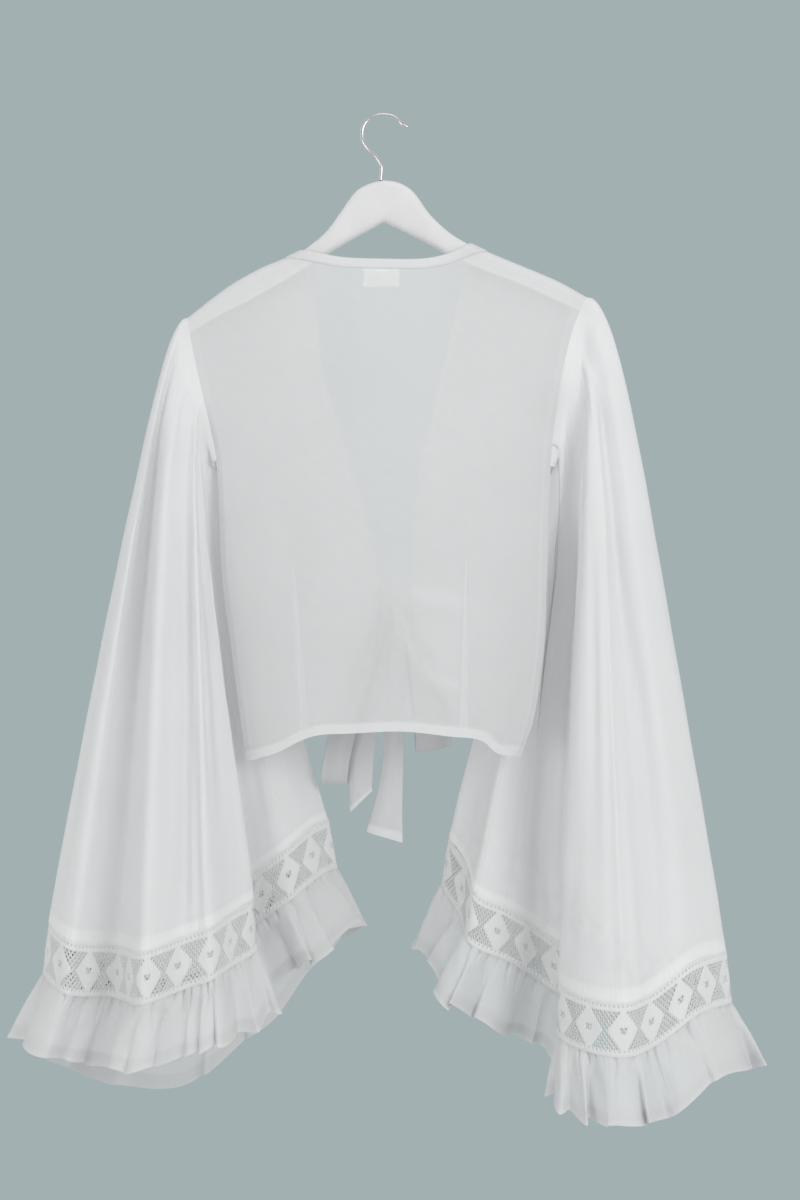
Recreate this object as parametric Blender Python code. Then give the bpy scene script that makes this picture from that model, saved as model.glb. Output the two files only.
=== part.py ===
"""A sheer white wrap top that ties in front, hung on a wooden hanger.

Its bell sleeves have crochet lace bands and gathered ruffles. Sizes below are in millimetres. x runs to
the wearer's right, y from the back of the garment (-) to its fronts (+), and a drop is measured down from
the inside of the hook, where a rail bears. An out is measured from the hook's middle towards the side it
is given for. Left and right are the wearer's, and the left is at -x.
"""

import bmesh
import bpy
import numpy as np

METRE = 0.001
SIGN = {"left": -1.0, "right": 1.0}


def table(names, *rows):
    """A table's columns by name."""
    return dict(zip(names.split(), np.array(rows, dtype=float).T))


# Cloth
CLOTH = 1.6
SEAM = 0.3
BINDING_WIDE = 10.0
LABEL_THICK = 1.0

# How far the body stands from its middle plane
ARM_CLEAR = 9.5
ARM_ROUND = 10.0
BACK_FULL = 24.0
FRONT_FULL = 34.0
FULL_AT = 300.0
EDGE_FULL = CLOTH / 2 + SEAM / 2
EDGE_OPEN_TO = 95.0
EDGE_SHUT_AT = 165.0

# The line just over the hanger's top, from its middle. The shoulder seams lie on it from the neck outwards.
TOP = {
    "left": table(
        "out drop", (0, 62.7), (14, 66), (27, 73), (36, 84), (44, 96), (58, 115), (72, 127.5), (84, 136),
        (93, 141), (124, 154), (157, 173), (197, 204), (208, 213), (217, 230),
    ),
    "right": table(
        "out drop", (0, 62.7), (14, 65), (26, 71.5), (33, 79), (46, 97.5), (67, 117), (87, 129), (101, 136),
        (139, 152), (174, 167), (203, 183), (222, 194), (232, 211),
    ),
}
# The panels' side edge: the armhole, then the side seam. The underarm is the row given below.
SIDE = {
    "left": table(
        "drop out", (204, 197), (235, 192), (289, 180), (349, 168), (462, 162), (532, 153), (593, 145),
        (649, 137),
    ),
    "right": table(
        "drop out", (183, 203), (214, 190), (265, 178), (354, 167), (521, 161), (552, 158), (608, 149),
        (644, 136),
    ),
}
UNDERARM_ROW = 3

# The back neckline's top edge and the back hem, from left to right
NECKLINE = table("x drop", (-84, 136), (-58, 141.6), (-39, 145), (0, 146.8), (41, 146), (66, 140), (87, 129))
BACK_HEM = table(
    "x drop", (-137, 649), (-108, 641), (-71, 624), (-32, 621), (18, 619), (66, 624), (96, 628), (113, 641),
    (136, 644),
)
# Where the binding's lower edge meets the shoulder seam
BINDING_END = {"left": 100.0, "right": 104.0}

# Each front's inner edge runs down the V to the knot, along the knot, and away again to the hem
FRONT_EDGE = {
    "left": table(
        "out drop", (84, 136), (72, 170), (62, 255), (39, 332), (13, 420), (6, 462), (6, 497), (12, 545),
        (32, 610),
    ),
    "right": table(
        "out drop", (87, 129), (80, 165), (68, 215), (51, 288), (33, 370), (27, 462), (27, 497), (45, 565),
        (84, 612),
    ),
}
KNOT_ROW = 6

# Fold lines of each sleeve round its hem, from the top edge round the back to the underarm seam and home
# round the front. fore is y, and the bows carry a line outwards and forwards between armhole and hem.
FOLDS = {
    "left": table(
        "out fore drop bow_out bow_fore",
        (334, 15, 809, 15, 0),
        (305, -42, 823, 17, -6),
        (268, -12, 829, 24, 4),
        (230, -78, 828, 20, -8),
        (192, -52, 816, 13, 0),
        (168, -60, 807, 10, -4),
        (149, -22, 796, 14, 2),
        (131, 8, 785, 13, 6),
        (140, 48, 770, 11, 8),
        (102, 36, 739, 8, 10),
        (72, 66, 715, 5, 12),
        (58, 98, 713, 2, 14),
        (92, 130, 748, 5, 20),
        (142, 126, 812, 10, 22),
        (208, 108, 866, 14, 18),
        (287, 66, 847, 16, 8),
    ),
    "right": table(
        "out fore drop bow_out bow_fore",
        (342, 15, 838, 21, 0),
        (301, -45, 843, 21, -6),
        (262, -56, 870, 20, 2),
        (231, -80, 878, 22, -8),
        (196, -62, 875, 20, -6),
        (172, -24, 864, 20, 0),
        (190, 34, 845, 16, 6),
        (164, 60, 825, 13, 8),
        (128, 42, 800, 10, 8),
        (93, 32, 782, 7, 9),
        (84, 62, 756, 5, 12),
        (68, 94, 725, 2, 14),
        (105, 124, 722, 6, 22),
        (164, 134, 753, 12, 24),
        (236, 118, 819, 16, 18),
        (309, 66, 847, 18, 8),
    ),
}
UNDERARM_FOLD = 9
POINTS_PER_FOLD = 4
UNDERARM_CLEAR = 1.8
SLEEVE_ROWS = (0.0, 0.012, 0.03, 0.08, 0.18, 0.31, 0.47, 0.65, 0.83, 1.0)
BOW_OUT_SHARE = 0.4
BOW_FORE_SHARE = 0.7

# Lace band and ruffle
LACE_TALL = 52.0
RUFFLE_TALL = 66.0
RUFFLE_WAVES = 38
RUFFLE_STEPS = 3
WAVE_DEEP = 6.5
WAVE_CALM = 0.35
RUFFLE_FLARE = 0.3
RUFFLE_ROWS = (0.0, 0.45, 1.0)

# Rows of the body's panels, as shares of their height. The first ones turn over the hanger's arm.
PANEL_ROWS = (0.0, 0.0028, 0.0095, 0.022, 0.055, 0.1, 0.16, 0.23, 0.3, 0.38, 0.48, 0.6, 0.73, 0.87, 1.0)
NECK_COLUMNS = 18
SHOULDER_SHARES = (0.0, 0.12, 0.4, 0.7, 1.0)
FRONT_COLUMNS = 11

# Hanger: its underside from the middle outwards, and its sections
HANGER_UNDER = {
    "left": table("out drop", (0, 107), (54, 138), (70, 150), (131, 187), (165, 204), (211, 233)),
    "right": table("out drop", (0, 107), (46, 130), (76, 148), (140, 174), (192, 198), (226, 214)),
}
HANGER_OUTS = {
    "left": (14, 27, 36, 46, 58, 72, 90, 110, 135, 160, 185, 195, 201, 205, 206),
    "right": (14, 26, 35, 46, 58, 72, 90, 110, 135, 160, 185, 205, 212, 216, 217),
}
HANGER_THICK = 13.0
HANGER_END = 16.0
REST = CLOTH / 2 + 1.3
HANGER_SIDES = 10

# Hook wire, from the hanger up and over to its tip
WIRE = 3.5
HOOK = table(
    "x drop", (-3.5, 64.7), (-3, 50), (-8, 41), (-16, 33), (-21.3, 24), (-21.5, 12), (-16, 3), (-8, -1),
    (0, -1.75), (8, -0.5), (15, 4), (19.5, 9), (25, 11),
)
HOOK_POINTS = 40

# Knot and ties. A strip's rows give its middle, its width, its turn about its own line, the hollow across
# it and how much lower its outer-left corner hangs.
KNOT_CENTRE = np.array([10.5, 50.0, -480.0])
KNOT_HALF = np.array([21.0, 9.0, 19.0])
STRIP_NAMES = "x fore drop wide turn hollow slant"
STRIPS = {
    "tie_loop_left": table(
        STRIP_NAMES,
        (1, 47, 499, 12, 0, 0, 0),
        (-12, 50, 530, 20, 0, 2, 0),
        (-34, 52, 590, 26, 0, 3, 0),
        (-47, 54, 640, 27, 0, 3, 0),
        (-51, 58, 666, 27, 0, 1, 0),
        (-51, 65, 674, 27, 0, 0, 0),
        (-50, 73, 670, 27, 0, 1, 0),
        (-44, 76, 644, 27, 0, 2, 0),
        (-30, 74, 592, 26, 0, 2, 0),
        (-10, 66, 530, 18, 0, 1, 0),
        (2, 54, 499, 12, 0, 0, 0),
    ),
    "tie_loop_right": table(
        STRIP_NAMES,
        (20, 47, 499, 12, 0, 0, 0),
        (34, 50, 530, 22, 0, 2, 0),
        (45, 51, 572, 34, -6, 3, 0),
        (49, 53, 610, 36, -8, 3, 0),
        (50, 56, 630, 36, -10, 2, 0),
        (50, 62, 638, 36, -10, 1, 0),
        (49, 69, 634, 35, -8, 1, 0),
        (47, 72, 615, 34, -6, 2, 0),
        (38, 71, 560, 30, -4, 3, 0),
        (29, 65, 528, 20, -2, 2, 0),
        (19, 54, 499, 12, 0, 0, 0),
    ),
    "tie_tail_left": table(
        STRIP_NAMES,
        (5, 50.5, 499, 10, 0, 0, 0),
        (-2, 58, 530, 18, 0, 1, 0),
        (-14, 62, 590, 24, 0, 2, 0),
        (-22, 62, 640, 25, 0, 3, 0),
        (-24, 62, 672, 24, 0, 3, 8),
        (-24, 62, 692, 23, 0, 2, 22),
    ),
    "tie_tail_right": table(
        STRIP_NAMES,
        (16, 50.5, 499, 10, 0, 0, 0),
        (15, 54, 530, 17, 0, 1, 0),
        (11, 58, 590, 20, 8, 3, 0),
        (9, 60, 650, 22, 12, 3, 0),
        (5, 61, 690, 28, 8, 3, 0),
        (0, 61, 728, 39, 4, 3, -6),
    ),
}

# Bare neck label and its size tab, inside the back
LABEL = {"x": (-20.0, 15.0), "drop": (159.0, 176.0), "depth": 1}
TAB = {"x": (-8.0, 4.0), "drop": (160.0, 169.0), "depth": 2}

COLOURS = {
    "cloth": (0.86, 0.87, 0.88, 0.75, 0.0),
    "lace": (0.88, 0.88, 0.88, 0.85, 0.0),
    "label": (0.9, 0.9, 0.9, 0.6, 0.0),
    "painted wood": (0.87, 0.87, 0.87, 0.35, 0.0),
    "chrome": (0.75, 0.75, 0.75, 0.18, 1.0),
}


def smooth(points, at, closed=False):
    """Points of a smooth curve through the given ones, at fractional places in their list. Between two
    points it is a cubic whose end slopes blend the chords on either side."""
    points = np.asarray(points, dtype=float)
    count = len(points)
    spans = count if closed else count - 1
    following = np.roll(points, -1, axis=0) if closed else points[1:]
    chord = following - points[:spans]
    step = np.sqrt(np.linalg.norm(chord, axis=1))[:, None]
    rate = chord / step
    slope = np.empty_like(points)
    if closed:
        rate_before, step_before = np.roll(rate, 1, axis=0), np.roll(step, 1, axis=0)
        slope[:] = (rate_before * step + rate * step_before) / (step + step_before)
    else:
        slope[1:-1] = (rate[:-1] * step[1:] + rate[1:] * step[:-1]) / (step[1:] + step[:-1])
        slope[0], slope[-1] = rate[0], rate[-1]
    first = np.clip(np.floor(at).astype(int), 0, spans - 1)
    second = (first + 1) % count
    f = (np.asarray(at, dtype=float) - first)[:, None]
    a, b = points[first], points[second]
    slope_a, slope_b = slope[first] * step[first], slope[second] * step[first]
    return (
        a * (1 + 2 * f) * (1 - f) ** 2
        + slope_a * f * (1 - f) ** 2
        + b * f**2 * (3 - 2 * f)
        + slope_b * f**2 * (f - 1)
    )


def along(points, shares):
    """Points at these shares of a polyline's length."""
    points = np.asarray(points, dtype=float)
    length = np.concatenate([[0.0], np.cumsum(np.linalg.norm(np.diff(points, axis=0), axis=1))])
    return np.stack([np.interp(np.asarray(shares) * length[-1], length, c) for c in points.T], axis=-1)


def dense(columns, names, per_span=12):
    """A table's smooth curve, in many short steps."""
    points = np.stack([columns[n] for n in names.split()], axis=-1)
    return smooth(points, np.linspace(0, len(points) - 1, per_span * (len(points) - 1) + 1))


def ease(value):
    """0 up to 0, 1 from 1, and smooth between."""
    value = np.clip(value, 0.0, 1.0)
    return value * value * (3 - 2 * value)


def ridge_drop(x):
    """Drop of the line just over the hanger's top."""
    left, right = (dense(TOP[s], "out drop") for s in ("left", "right"))
    xs = np.concatenate([-left[:0:-1, 0], right[:, 0]])
    drops = np.concatenate([left[:0:-1, 1], right[:, 1]])
    return np.interp(x, xs, drops)


def side_out(x, drop):
    """How far out the panels' side edge is at this drop, on x's side."""
    left, right = (dense(SIDE[s], "drop out") for s in ("left", "right"))
    left_out, right_out = (np.interp(drop, line[:, 0], line[:, 1]) for line in (left, right))
    return np.where(x < 0, left_out, right_out)


def over_arm(x, drop):
    """Sine and cosine of how far the cloth has turned over the hanger's arm: level on its top, upright
    below it."""
    under = np.clip((drop - ridge_drop(x)) / ARM_ROUND, 0.0, 1.0)
    return np.sqrt(1 - (1 - under) ** 2), 1 - under


def swell(x, drop, face):
    """How far a panel stands from the middle plane below the hanger's arm: a lens that closes at the side
    seams."""
    full = BACK_FULL if face < 0 else FRONT_FULL
    under = np.clip(drop - ridge_drop(x), 0.0, None)
    edge = np.clip(np.abs(x) / side_out(x, drop), 0, 1)
    shut = ease((under - EDGE_OPEN_TO) / (EDGE_SHUT_AT - EDGE_OPEN_TO))
    closing = 1 - (1 - EDGE_FULL / ARM_CLEAR) * shut * edge**3
    return ARM_CLEAR * closing + full * ease(under / FULL_AT) * (1 - edge**2.2)


def on_panel(flat, face):
    """Points (x, drop) put on the back (face -1) or the fronts (face 1). Over the arm the swell follows an
    oval."""
    flat = np.asarray(flat, dtype=float)
    x, drop = flat[..., 0], flat[..., 1]
    turned, _ = over_arm(x, drop)
    y = np.maximum(swell(x, drop, face) * turned, SEAM / 2)
    return np.stack([x, face * y, -drop], axis=-1)


def facing(flat, face):
    """The panel's unit normals there: square to the swell, turning square to the ridge over the arm."""
    flat = np.asarray(flat, dtype=float)
    x, drop = flat[..., 0], flat[..., 1]
    turned, level = over_arm(x, drop)
    slope_x = (swell(x + 1, drop, face) - swell(x - 1, drop, face)) / 2
    slope_drop = (swell(x, drop + 1, face) - swell(x, drop - 1, face)) / 2
    fall = (ridge_drop(x + 1) - ridge_drop(x - 1)) / 2
    out = np.stack([-slope_x, np.full_like(x, face), slope_drop], axis=-1)
    up = np.stack([fall, np.zeros_like(x), np.ones_like(x)], axis=-1)
    normal = turned[..., None] * out + level[..., None] * up / np.linalg.norm(up, axis=-1, keepdims=True)
    return normal / np.linalg.norm(normal, axis=-1, keepdims=True)


def panel_wall(name, flat, face):
    """A wall of cloth laid on a panel's form."""
    return wall(name, on_panel(flat, face), normals=facing(flat, face))


def shares_of(points):
    """How far along a polyline each of its points lies, as a share of its length."""
    length = np.concatenate([[0.0], np.cumsum(np.linalg.norm(np.diff(points, axis=0), axis=1))])
    return length / length[-1]


def patch(top, bottom, left, right):
    """A net (x, drop) filled in between four edges: the blend of its top and bottom plus the blend of its
    sides, less the blend of its corners. The top and the sides are given by their points, and the bottom is
    cut at the top's shares."""
    u = shares_of(top)
    v = np.array(PANEL_ROWS)[:, None, None]
    a, b = top[None], along(bottom, u)[None]
    c, d = left[:, None], right[:, None]
    s = u[None, :, None]
    corners = (1 - v) * ((1 - s) * a[:, :1] + s * a[:, -1:]) + v * ((1 - s) * b[:, :1] + s * b[:, -1:])
    return (1 - v) * a + v * b + (1 - s) * c + s * d - corners


def normals_of(grid, closed):
    """Unit normals of a grid of points, by the cross product of its two directions."""
    if closed:
        across = np.roll(grid, -1, axis=1) - np.roll(grid, 1, axis=1)
    else:
        across = np.gradient(grid, axis=1)
    down = np.gradient(grid, axis=0)
    normal = np.cross(across, down)
    return normal / np.linalg.norm(normal, axis=-1, keepdims=True)


def add_mesh(name, points, faces, colour, rounded=True):
    """An object from points in millimetres, with its faces turned out."""
    mesh = bpy.data.meshes.new(name)
    mesh.from_pydata((np.asarray(points) * METRE).tolist(), [], faces)
    shell = bmesh.new()
    shell.from_mesh(mesh)
    bmesh.ops.recalc_face_normals(shell, faces=shell.faces)
    if shell.calc_volume(signed=True) < 0:
        bmesh.ops.reverse_faces(shell, faces=shell.faces)
    shell.to_mesh(mesh)
    shell.free()
    if rounded:
        mesh.shade_smooth()
        mesh.set_sharp_from_angle(angle=np.radians(50))
    return add_object(name, mesh, colour)


def add_object(name, data, colour):
    """Links the data as an object with a material of its own."""
    obj = bpy.data.objects.new(name, data)
    bpy.context.scene.collection.objects.link(obj)
    material = bpy.data.materials.new(name + " " + colour)
    material.use_nodes = True
    shader = material.node_tree.nodes["Principled BSDF"]
    red, green, blue, rough, metal = COLOURS[colour]
    shader.inputs["Base Color"].default_value = (red, green, blue, 1.0)
    shader.inputs["Roughness"].default_value = rough
    shader.inputs["Metallic"].default_value = metal
    obj.data.materials.append(material)
    return obj


def wall(name, grid, colour="cloth", thick=CLOTH, closed=False, normals=None):
    """A wall of cloth on a grid of its middle points, closed round its columns or open, with rims at its
    edges."""
    grid = np.asarray(grid, dtype=float)
    rows, columns = grid.shape[:2]
    if normals is None:
        normals = normals_of(grid, closed)
    points = np.concatenate([grid + normals * thick / 2, grid - normals * thick / 2]).reshape(-1, 3)
    index = np.arange(2 * rows * columns).reshape(2, rows, columns)
    if closed:
        index = np.concatenate([index, index[:, :, :1]], axis=2)
    outer, inner = index

    def halves(net):
        a, b, c, d = (part.ravel() for part in (net[:-1, :-1], net[:-1, 1:], net[1:, 1:], net[1:, :-1]))
        return np.concatenate([np.stack([a, b, c], axis=-1), np.stack([a, c, d], axis=-1)])

    faces = [halves(outer), halves(inner)[:, ::-1]]
    faces += [halves(np.stack([outer[0], inner[0]]))[:, ::-1], halves(np.stack([outer[-1], inner[-1]]))]
    if not closed:
        faces.append(halves(np.stack([outer[:, 0], inner[:, 0]])))
        faces.append(halves(np.stack([inner[:, -1], outer[:, -1]])))
    return add_mesh(name, points, np.concatenate(faces).tolist(), colour)


def side_line(side):
    """A panel's side edge (x, drop) at the panels' rows, from the shoulder to the hem."""
    drop, out = dense(SIDE[side], "drop out").T
    return along(np.stack([SIGN[side] * out, drop], axis=-1), PANEL_ROWS)


def shoulder_line(side, inner, shares):
    """Points of the shoulder seam (x, drop), between a place out from the middle and the armhole."""
    out = inner + (SIDE[side]["out"][0] - inner) * np.asarray(shares)
    return np.stack([SIGN[side] * out, ridge_drop(SIGN[side] * out)], axis=-1)


def crowded(count):
    """Shares from 0 to 1 that lie closer together at both ends."""
    return 0.5 - 0.5 * np.cos(np.pi * np.arange(count + 1) / count)


def neck_edges():
    """The back neckline's top edge, the binding's lower edge and the panel's edge a seam below it."""
    top = along(dense(NECKLINE, "x drop"), crowded(NECK_COLUMNS))
    heading = np.gradient(top, axis=0)
    heading /= np.linalg.norm(heading, axis=1, keepdims=True)
    square = np.stack([-heading[:, 1], heading[:, 0]], axis=-1)
    lines = [top]
    for away in (BINDING_WIDE, BINDING_WIDE + SEAM):
        line = top + away * square
        for side, end in (("left", 0), ("right", -1)):
            x = SIGN[side] * (BINDING_END[side] + away - BINDING_WIDE)
            shift = np.array([x, ridge_drop(x)]) - line[end]
            reach = np.exp(-np.linalg.norm(top - top[end], axis=1) / BINDING_WIDE)
            line += reach[:, None] * shift
        lines.append(line)
    return lines


def make_back():
    """The back panel, and the binding above it."""
    top, low, seam = neck_edges()
    left, right = (shoulder_line(s, BINDING_END[s] + SEAM, SHOULDER_SHARES) for s in SIGN)
    edge = np.concatenate([left[::-1], seam[1:-1], right])
    net = patch(edge, dense(BACK_HEM, "x drop"), side_line("left"), side_line("right"))
    panel_wall("back_panel", net, -1)
    panel_wall("neck_binding_back", np.stack([top, (top + low) / 2, low]), -1)


def front_edge(side, wide=0.0, seam=0.0):
    """A front's inner edge (x, drop) in short steps, moved outwards by a seam, and by a binding's width as
    far as the knot. A moved edge starts where the binding's lower edge meets the shoulder."""
    out, drop = dense(FRONT_EDGE[side], "out drop").T
    steps = np.arange(len(out))
    out = out + seam + wide * ease((12 * KNOT_ROW + 6 - steps) / 14)
    if wide:
        start = BINDING_END[side] + seam
        fade = np.exp(-steps / 6)
        out = out + fade * (start - out[0])
        drop = drop + fade * (ridge_drop(SIGN[side] * start) - drop[0])
    return np.stack([SIGN[side] * out, drop], axis=-1)


def make_front(side):
    """One front, and the binding on its edge down to behind the knot. Both take their rows at the same
    steps."""
    lines = (front_edge(side), front_edge(side, BINDING_WIDE), front_edge(side, BINDING_WIDE, SEAM))
    steps = np.arange(len(lines[2]))
    rows = np.interp(PANEL_ROWS, shares_of(lines[2]), steps)
    edge, low, seam = (np.stack([np.interp(rows, steps, c) for c in line.T], axis=-1) for line in lines)
    side_edge = side_line(side)
    hem = np.stack([side_edge[-1], seam[-1]])
    shares = (1 - np.linspace(0, 1, FRONT_COLUMNS + 1)) ** 1.3
    shoulder = shoulder_line(side, BINDING_END[side] + SEAM, shares)
    panel_wall("front_" + side, patch(shoulder, hem, side_edge, seam), 1)
    bound = rows < 12 * KNOT_ROW
    panel_wall("neck_binding_" + side, np.stack([edge[bound], low[bound]]), 1)


def armhole(side):
    """The armhole's edge on the back, from its top down to the underarm, and on the fronts from there up.
    Each row is a point and the panel's normal there."""
    rows = side_line(side)
    underarm = np.interp(SIDE[side]["drop"][UNDERARM_ROW], rows[:, 1], np.arange(len(rows)))
    places = np.append(np.arange(int(underarm) + 1), underarm)
    edges = []
    for face in (-1, 1):
        edge = np.concatenate([on_panel(rows, face), facing(rows, face)], axis=1)
        edges.append(np.stack([np.interp(places, np.arange(len(rows)), c) for c in edge.T], axis=-1))
    return edges[0], edges[1][::-1]


def sleeve_net(side):
    """The sleeve's grid from armhole to hem, the armhole's normals, and the way its lines run at the hem. A
    line goes straight from its place on the armhole to its place on the hem, and bows by two sines that
    peak early."""
    folds = np.stack([FOLDS[side][n] for n in "out fore drop bow_out bow_fore".split()], axis=-1)
    count = len(folds) * POINTS_PER_FOLD
    ring = smooth(folds, np.arange(count) / POINTS_PER_FOLD, closed=True)
    hem = np.stack([SIGN[side] * ring[:, 0], ring[:, 1], -ring[:, 2]], axis=-1)
    length = np.concatenate([[0.0], np.cumsum(np.linalg.norm(np.diff(hem, axis=0), axis=1))])
    under = UNDERARM_FOLD * POINTS_PER_FOLD
    home = length[-1] + np.linalg.norm(hem[-1] - hem[0])
    share_back = length[: under + 1] / length[under]
    share_front = (length[under + 1 :] - length[under]) / (home - length[under])
    back, front = armhole(side)
    start = np.concatenate([along(back, share_back), along(front, share_front)])
    start, square = start[:, :3], start[:, 3:]
    low = ease((-start[:, 2] - ridge_drop(start[:, 0]) - EDGE_OPEN_TO) / (EDGE_SHUT_AT - EDGE_OPEN_TO))
    start[:, 0] += SIGN[side] * (1.5 * SEAM + UNDERARM_CLEAR * low)
    start[:, 1] += np.sign(start[:, 1]) * UNDERARM_CLEAR * low
    start[under, 1], square[under] = 0.0, (0.0, 0.0, -1.0)
    t = np.array(SLEEVE_ROWS)[:, None]
    net = start * (1 - t[..., None]) + hem * t[..., None]
    net[..., 0] += SIGN[side] * ring[:, 3] * np.sin(np.pi * t**BOW_OUT_SHARE)
    net[..., 1] += ring[:, 4] * np.sin(np.pi * t**BOW_FORE_SHARE)
    run = net[-1] - net[-2]
    run /= np.linalg.norm(run, axis=1, keepdims=True)
    run = 0.6 * run + [0.0, 0.0, -0.4]
    return net, square, run / np.linalg.norm(run, axis=1, keepdims=True)


def make_sleeve(side):
    """A sleeve, its lace band and its ruffle, each hung from the ring above it."""
    net, square, run = sleeve_net(side)
    lace_end = net[-1] + run * LACE_TALL
    whole = np.concatenate([net, lace_end[None]])
    normals = normals_of(whole, closed=True)
    if np.sum(normals[0] * square) < 0:
        normals = -normals
    normals[0] = square
    normals[1] += 0.7 * square
    normals[-2:, :, 2] = 0
    normals[1:] /= np.linalg.norm(normals[1:], axis=-1, keepdims=True)
    round_way = np.roll(net[-1], -1, axis=0) - np.roll(net[-1], 1, axis=0)
    round_way /= np.linalg.norm(round_way, axis=1, keepdims=True)
    aslant = np.sum(run * round_way, axis=1, keepdims=True)
    gap = run * SEAM / np.sqrt(1 - aslant**2)
    sleeve = net.copy()
    sleeve[-1] -= gap
    wall("sleeve_" + side, sleeve, closed=True, normals=normals[:-1])
    lace = np.stack([net[-1], lace_end - gap])
    wall("lace_" + side, lace, "lace", closed=True, normals=normals[-2:])
    make_ruffle(side, lace_end, run, normals[-1])


def finer(ring):
    """A ring of points with each side cut in RUFFLE_STEPS."""
    f = np.arange(RUFFLE_STEPS)[None, :, None] / RUFFLE_STEPS
    following = np.roll(ring, -1, axis=0)
    return (ring[:, None] * (1 - f) + following[:, None] * f).reshape(-1, ring.shape[-1])


def make_ruffle(side, ring, run, normals):
    """The gathered ruffle: it flares from the lace's lower edge, in waves whose depth grows from nothing at
    the seam. The waves' spacing and depth drift slowly round the ring."""
    base, way, rim = finer(ring), finer(run), finer(normals)
    out = finer(normals + np.roll(normals, 1, axis=0) + np.roll(normals, -1, axis=0))
    away = base - base.mean(axis=0)
    away[:, 2] = 0
    away /= np.linalg.norm(away, axis=1, keepdims=True)
    way = way + RUFFLE_FLARE * away
    way /= np.linalg.norm(way, axis=1, keepdims=True)
    out /= np.linalg.norm(out, axis=1, keepdims=True)
    turn = 2 * np.pi * np.arange(len(base)) / len(base)
    phase = RUFFLE_WAVES * turn + 0.9 * np.sin(3 * turn) + 0.5 * np.sin(7 * turn + 1)
    bend = np.linalg.norm(np.roll(out, -3, axis=0) - np.roll(out, 3, axis=0), axis=1)
    bend = np.maximum.reduce([np.roll(bend, shift) for shift in (-4, -2, 0, 2, 4)])
    deep = WAVE_DEEP * (1 + 0.25 * np.sin(5 * turn + 2)) / (1 + (bend / WAVE_CALM) ** 2) ** 0.5
    lift = (deep * np.sin(phase))[:, None] * out
    rows = [base + w * RUFFLE_TALL * way + w**0.8 * lift for w in RUFFLE_ROWS]
    grid = np.stack(rows)
    facing_out = normals_of(grid, closed=True)
    facing_out *= np.sign(np.sum(facing_out * out))
    facing_out[0] = rim
    wall("ruffle_" + side, grid, closed=True, normals=facing_out)


def start_drop(end, following):
    """The drop at which a strip's slanted end meets the knot's underside, from its table row and the one
    after it."""
    slope = (end[0] - following[0]) / np.linalg.norm(end[:3] - following[:3])
    corners = np.linspace(-0.5, 0.5, 5) * end[3]
    across = (end[0] + corners - KNOT_CENTRE[0]) / KNOT_HALF[0]
    through = (abs(end[1] - KNOT_CENTRE[1]) - CLOTH / 2) / KNOT_HALF[1]
    under = -KNOT_CENTRE[2] + KNOT_HALF[2] * np.sqrt(1 - across**2 - through**2)
    return np.max(under - corners * slope) + SEAM


def make_strip(name):
    """A tie's strip: three points across each row of its table, set square to the strip's own line. Ends
    that come from the knot start at its underside."""
    rows = np.stack([STRIPS[name][n] for n in STRIP_NAMES.split()], axis=-1)
    for end, following in ((0, 1), (-1, -2)) if "loop" in name else ((0, 1),):
        rows[end, 2] = start_drop(rows[end], rows[following])
    fine = smooth(rows, np.linspace(0, len(rows) - 1, 2 * len(rows) - 1))
    middle = np.stack([fine[:, 0], fine[:, 1], -fine[:, 2]], axis=-1)
    way = np.gradient(middle, axis=0)
    way /= np.linalg.norm(way, axis=1, keepdims=True)
    across = np.array([1.0, 0.0, 0.0]) - way * way[:, :1]
    across /= np.linalg.norm(across, axis=1, keepdims=True)
    up = np.cross(way, across)
    angle = np.radians(fine[:, 4:5])
    across = across * np.cos(angle) + up * np.sin(angle)
    face = np.cross(way, across)
    wide, hollow, slant = fine[:, 3:4], fine[:, 5:6], fine[:, 6:7]
    grid = np.stack(
        [
            middle - across * wide / 2 + way * slant / 2,
            middle + face * hollow,
            middle + across * wide / 2 - way * slant / 2,
        ],
        axis=1,
    )
    wall(name, grid)


def make_knot():
    """The bow's knot: a small oval with the shallow grooves of cloth pulled round it."""
    ball = bmesh.new()
    bmesh.ops.create_uvsphere(ball, u_segments=14, v_segments=9, radius=1.0)
    for vert in ball.verts:
        groove = 1 - 0.07 * abs(np.sin(2.5 * vert.co.z)) * (1 - vert.co.z**2)
        place = np.array(vert.co) * KNOT_HALF * [groove, groove, 1.0] + KNOT_CENTRE
        vert.co = place * METRE
    mesh = bpy.data.meshes.new("tie_knot")
    ball.to_mesh(mesh)
    ball.free()
    mesh.shade_smooth()
    add_object("tie_knot", mesh, "cloth")


def make_label(name, place):
    """A bare label laid on the inside of the back: the panel's own points, moved in by the layers under
    it."""
    x = np.linspace(*place["x"], 5)
    drop = np.linspace(*place["drop"], 4)
    flat = np.stack(np.meshgrid(x, drop), axis=-1)
    inward = CLOTH / 2 + LABEL_THICK / 2 + SEAM + (place["depth"] - 1) * (LABEL_THICK + SEAM)
    normals = facing(flat, -1)
    wall(name, on_panel(flat, -1) - normals * inward, "label", thick=LABEL_THICK, normals=normals)


def hanger_sections():
    """Each section's x, top, underside and thickness, from the left end to the right. The ends are
    rounded."""
    rows = []
    for side, sign in SIGN.items():
        under = dense(HANGER_UNDER[side], "out drop")
        outs = np.array(HANGER_OUTS[side], dtype=float)
        top = ridge_drop(sign * outs) + REST
        low = np.interp(outs, under[:, 0], under[:, 1])
        left_over = np.clip((outs - outs[-1] + HANGER_END) / HANGER_END, 0, 0.92)
        size = np.sqrt(1 - left_over**2)
        middle, half = (top + low) / 2, (low - top) / 2 * size
        rows.append(np.stack([sign * outs, middle - half, middle + half, HANGER_THICK * size], axis=-1))
    centre = [[0.0, ridge_drop(0.0) + REST, HANGER_UNDER["left"]["drop"][0], HANGER_THICK]]
    return np.concatenate([rows[0][::-1], centre, rows[1]])


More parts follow.
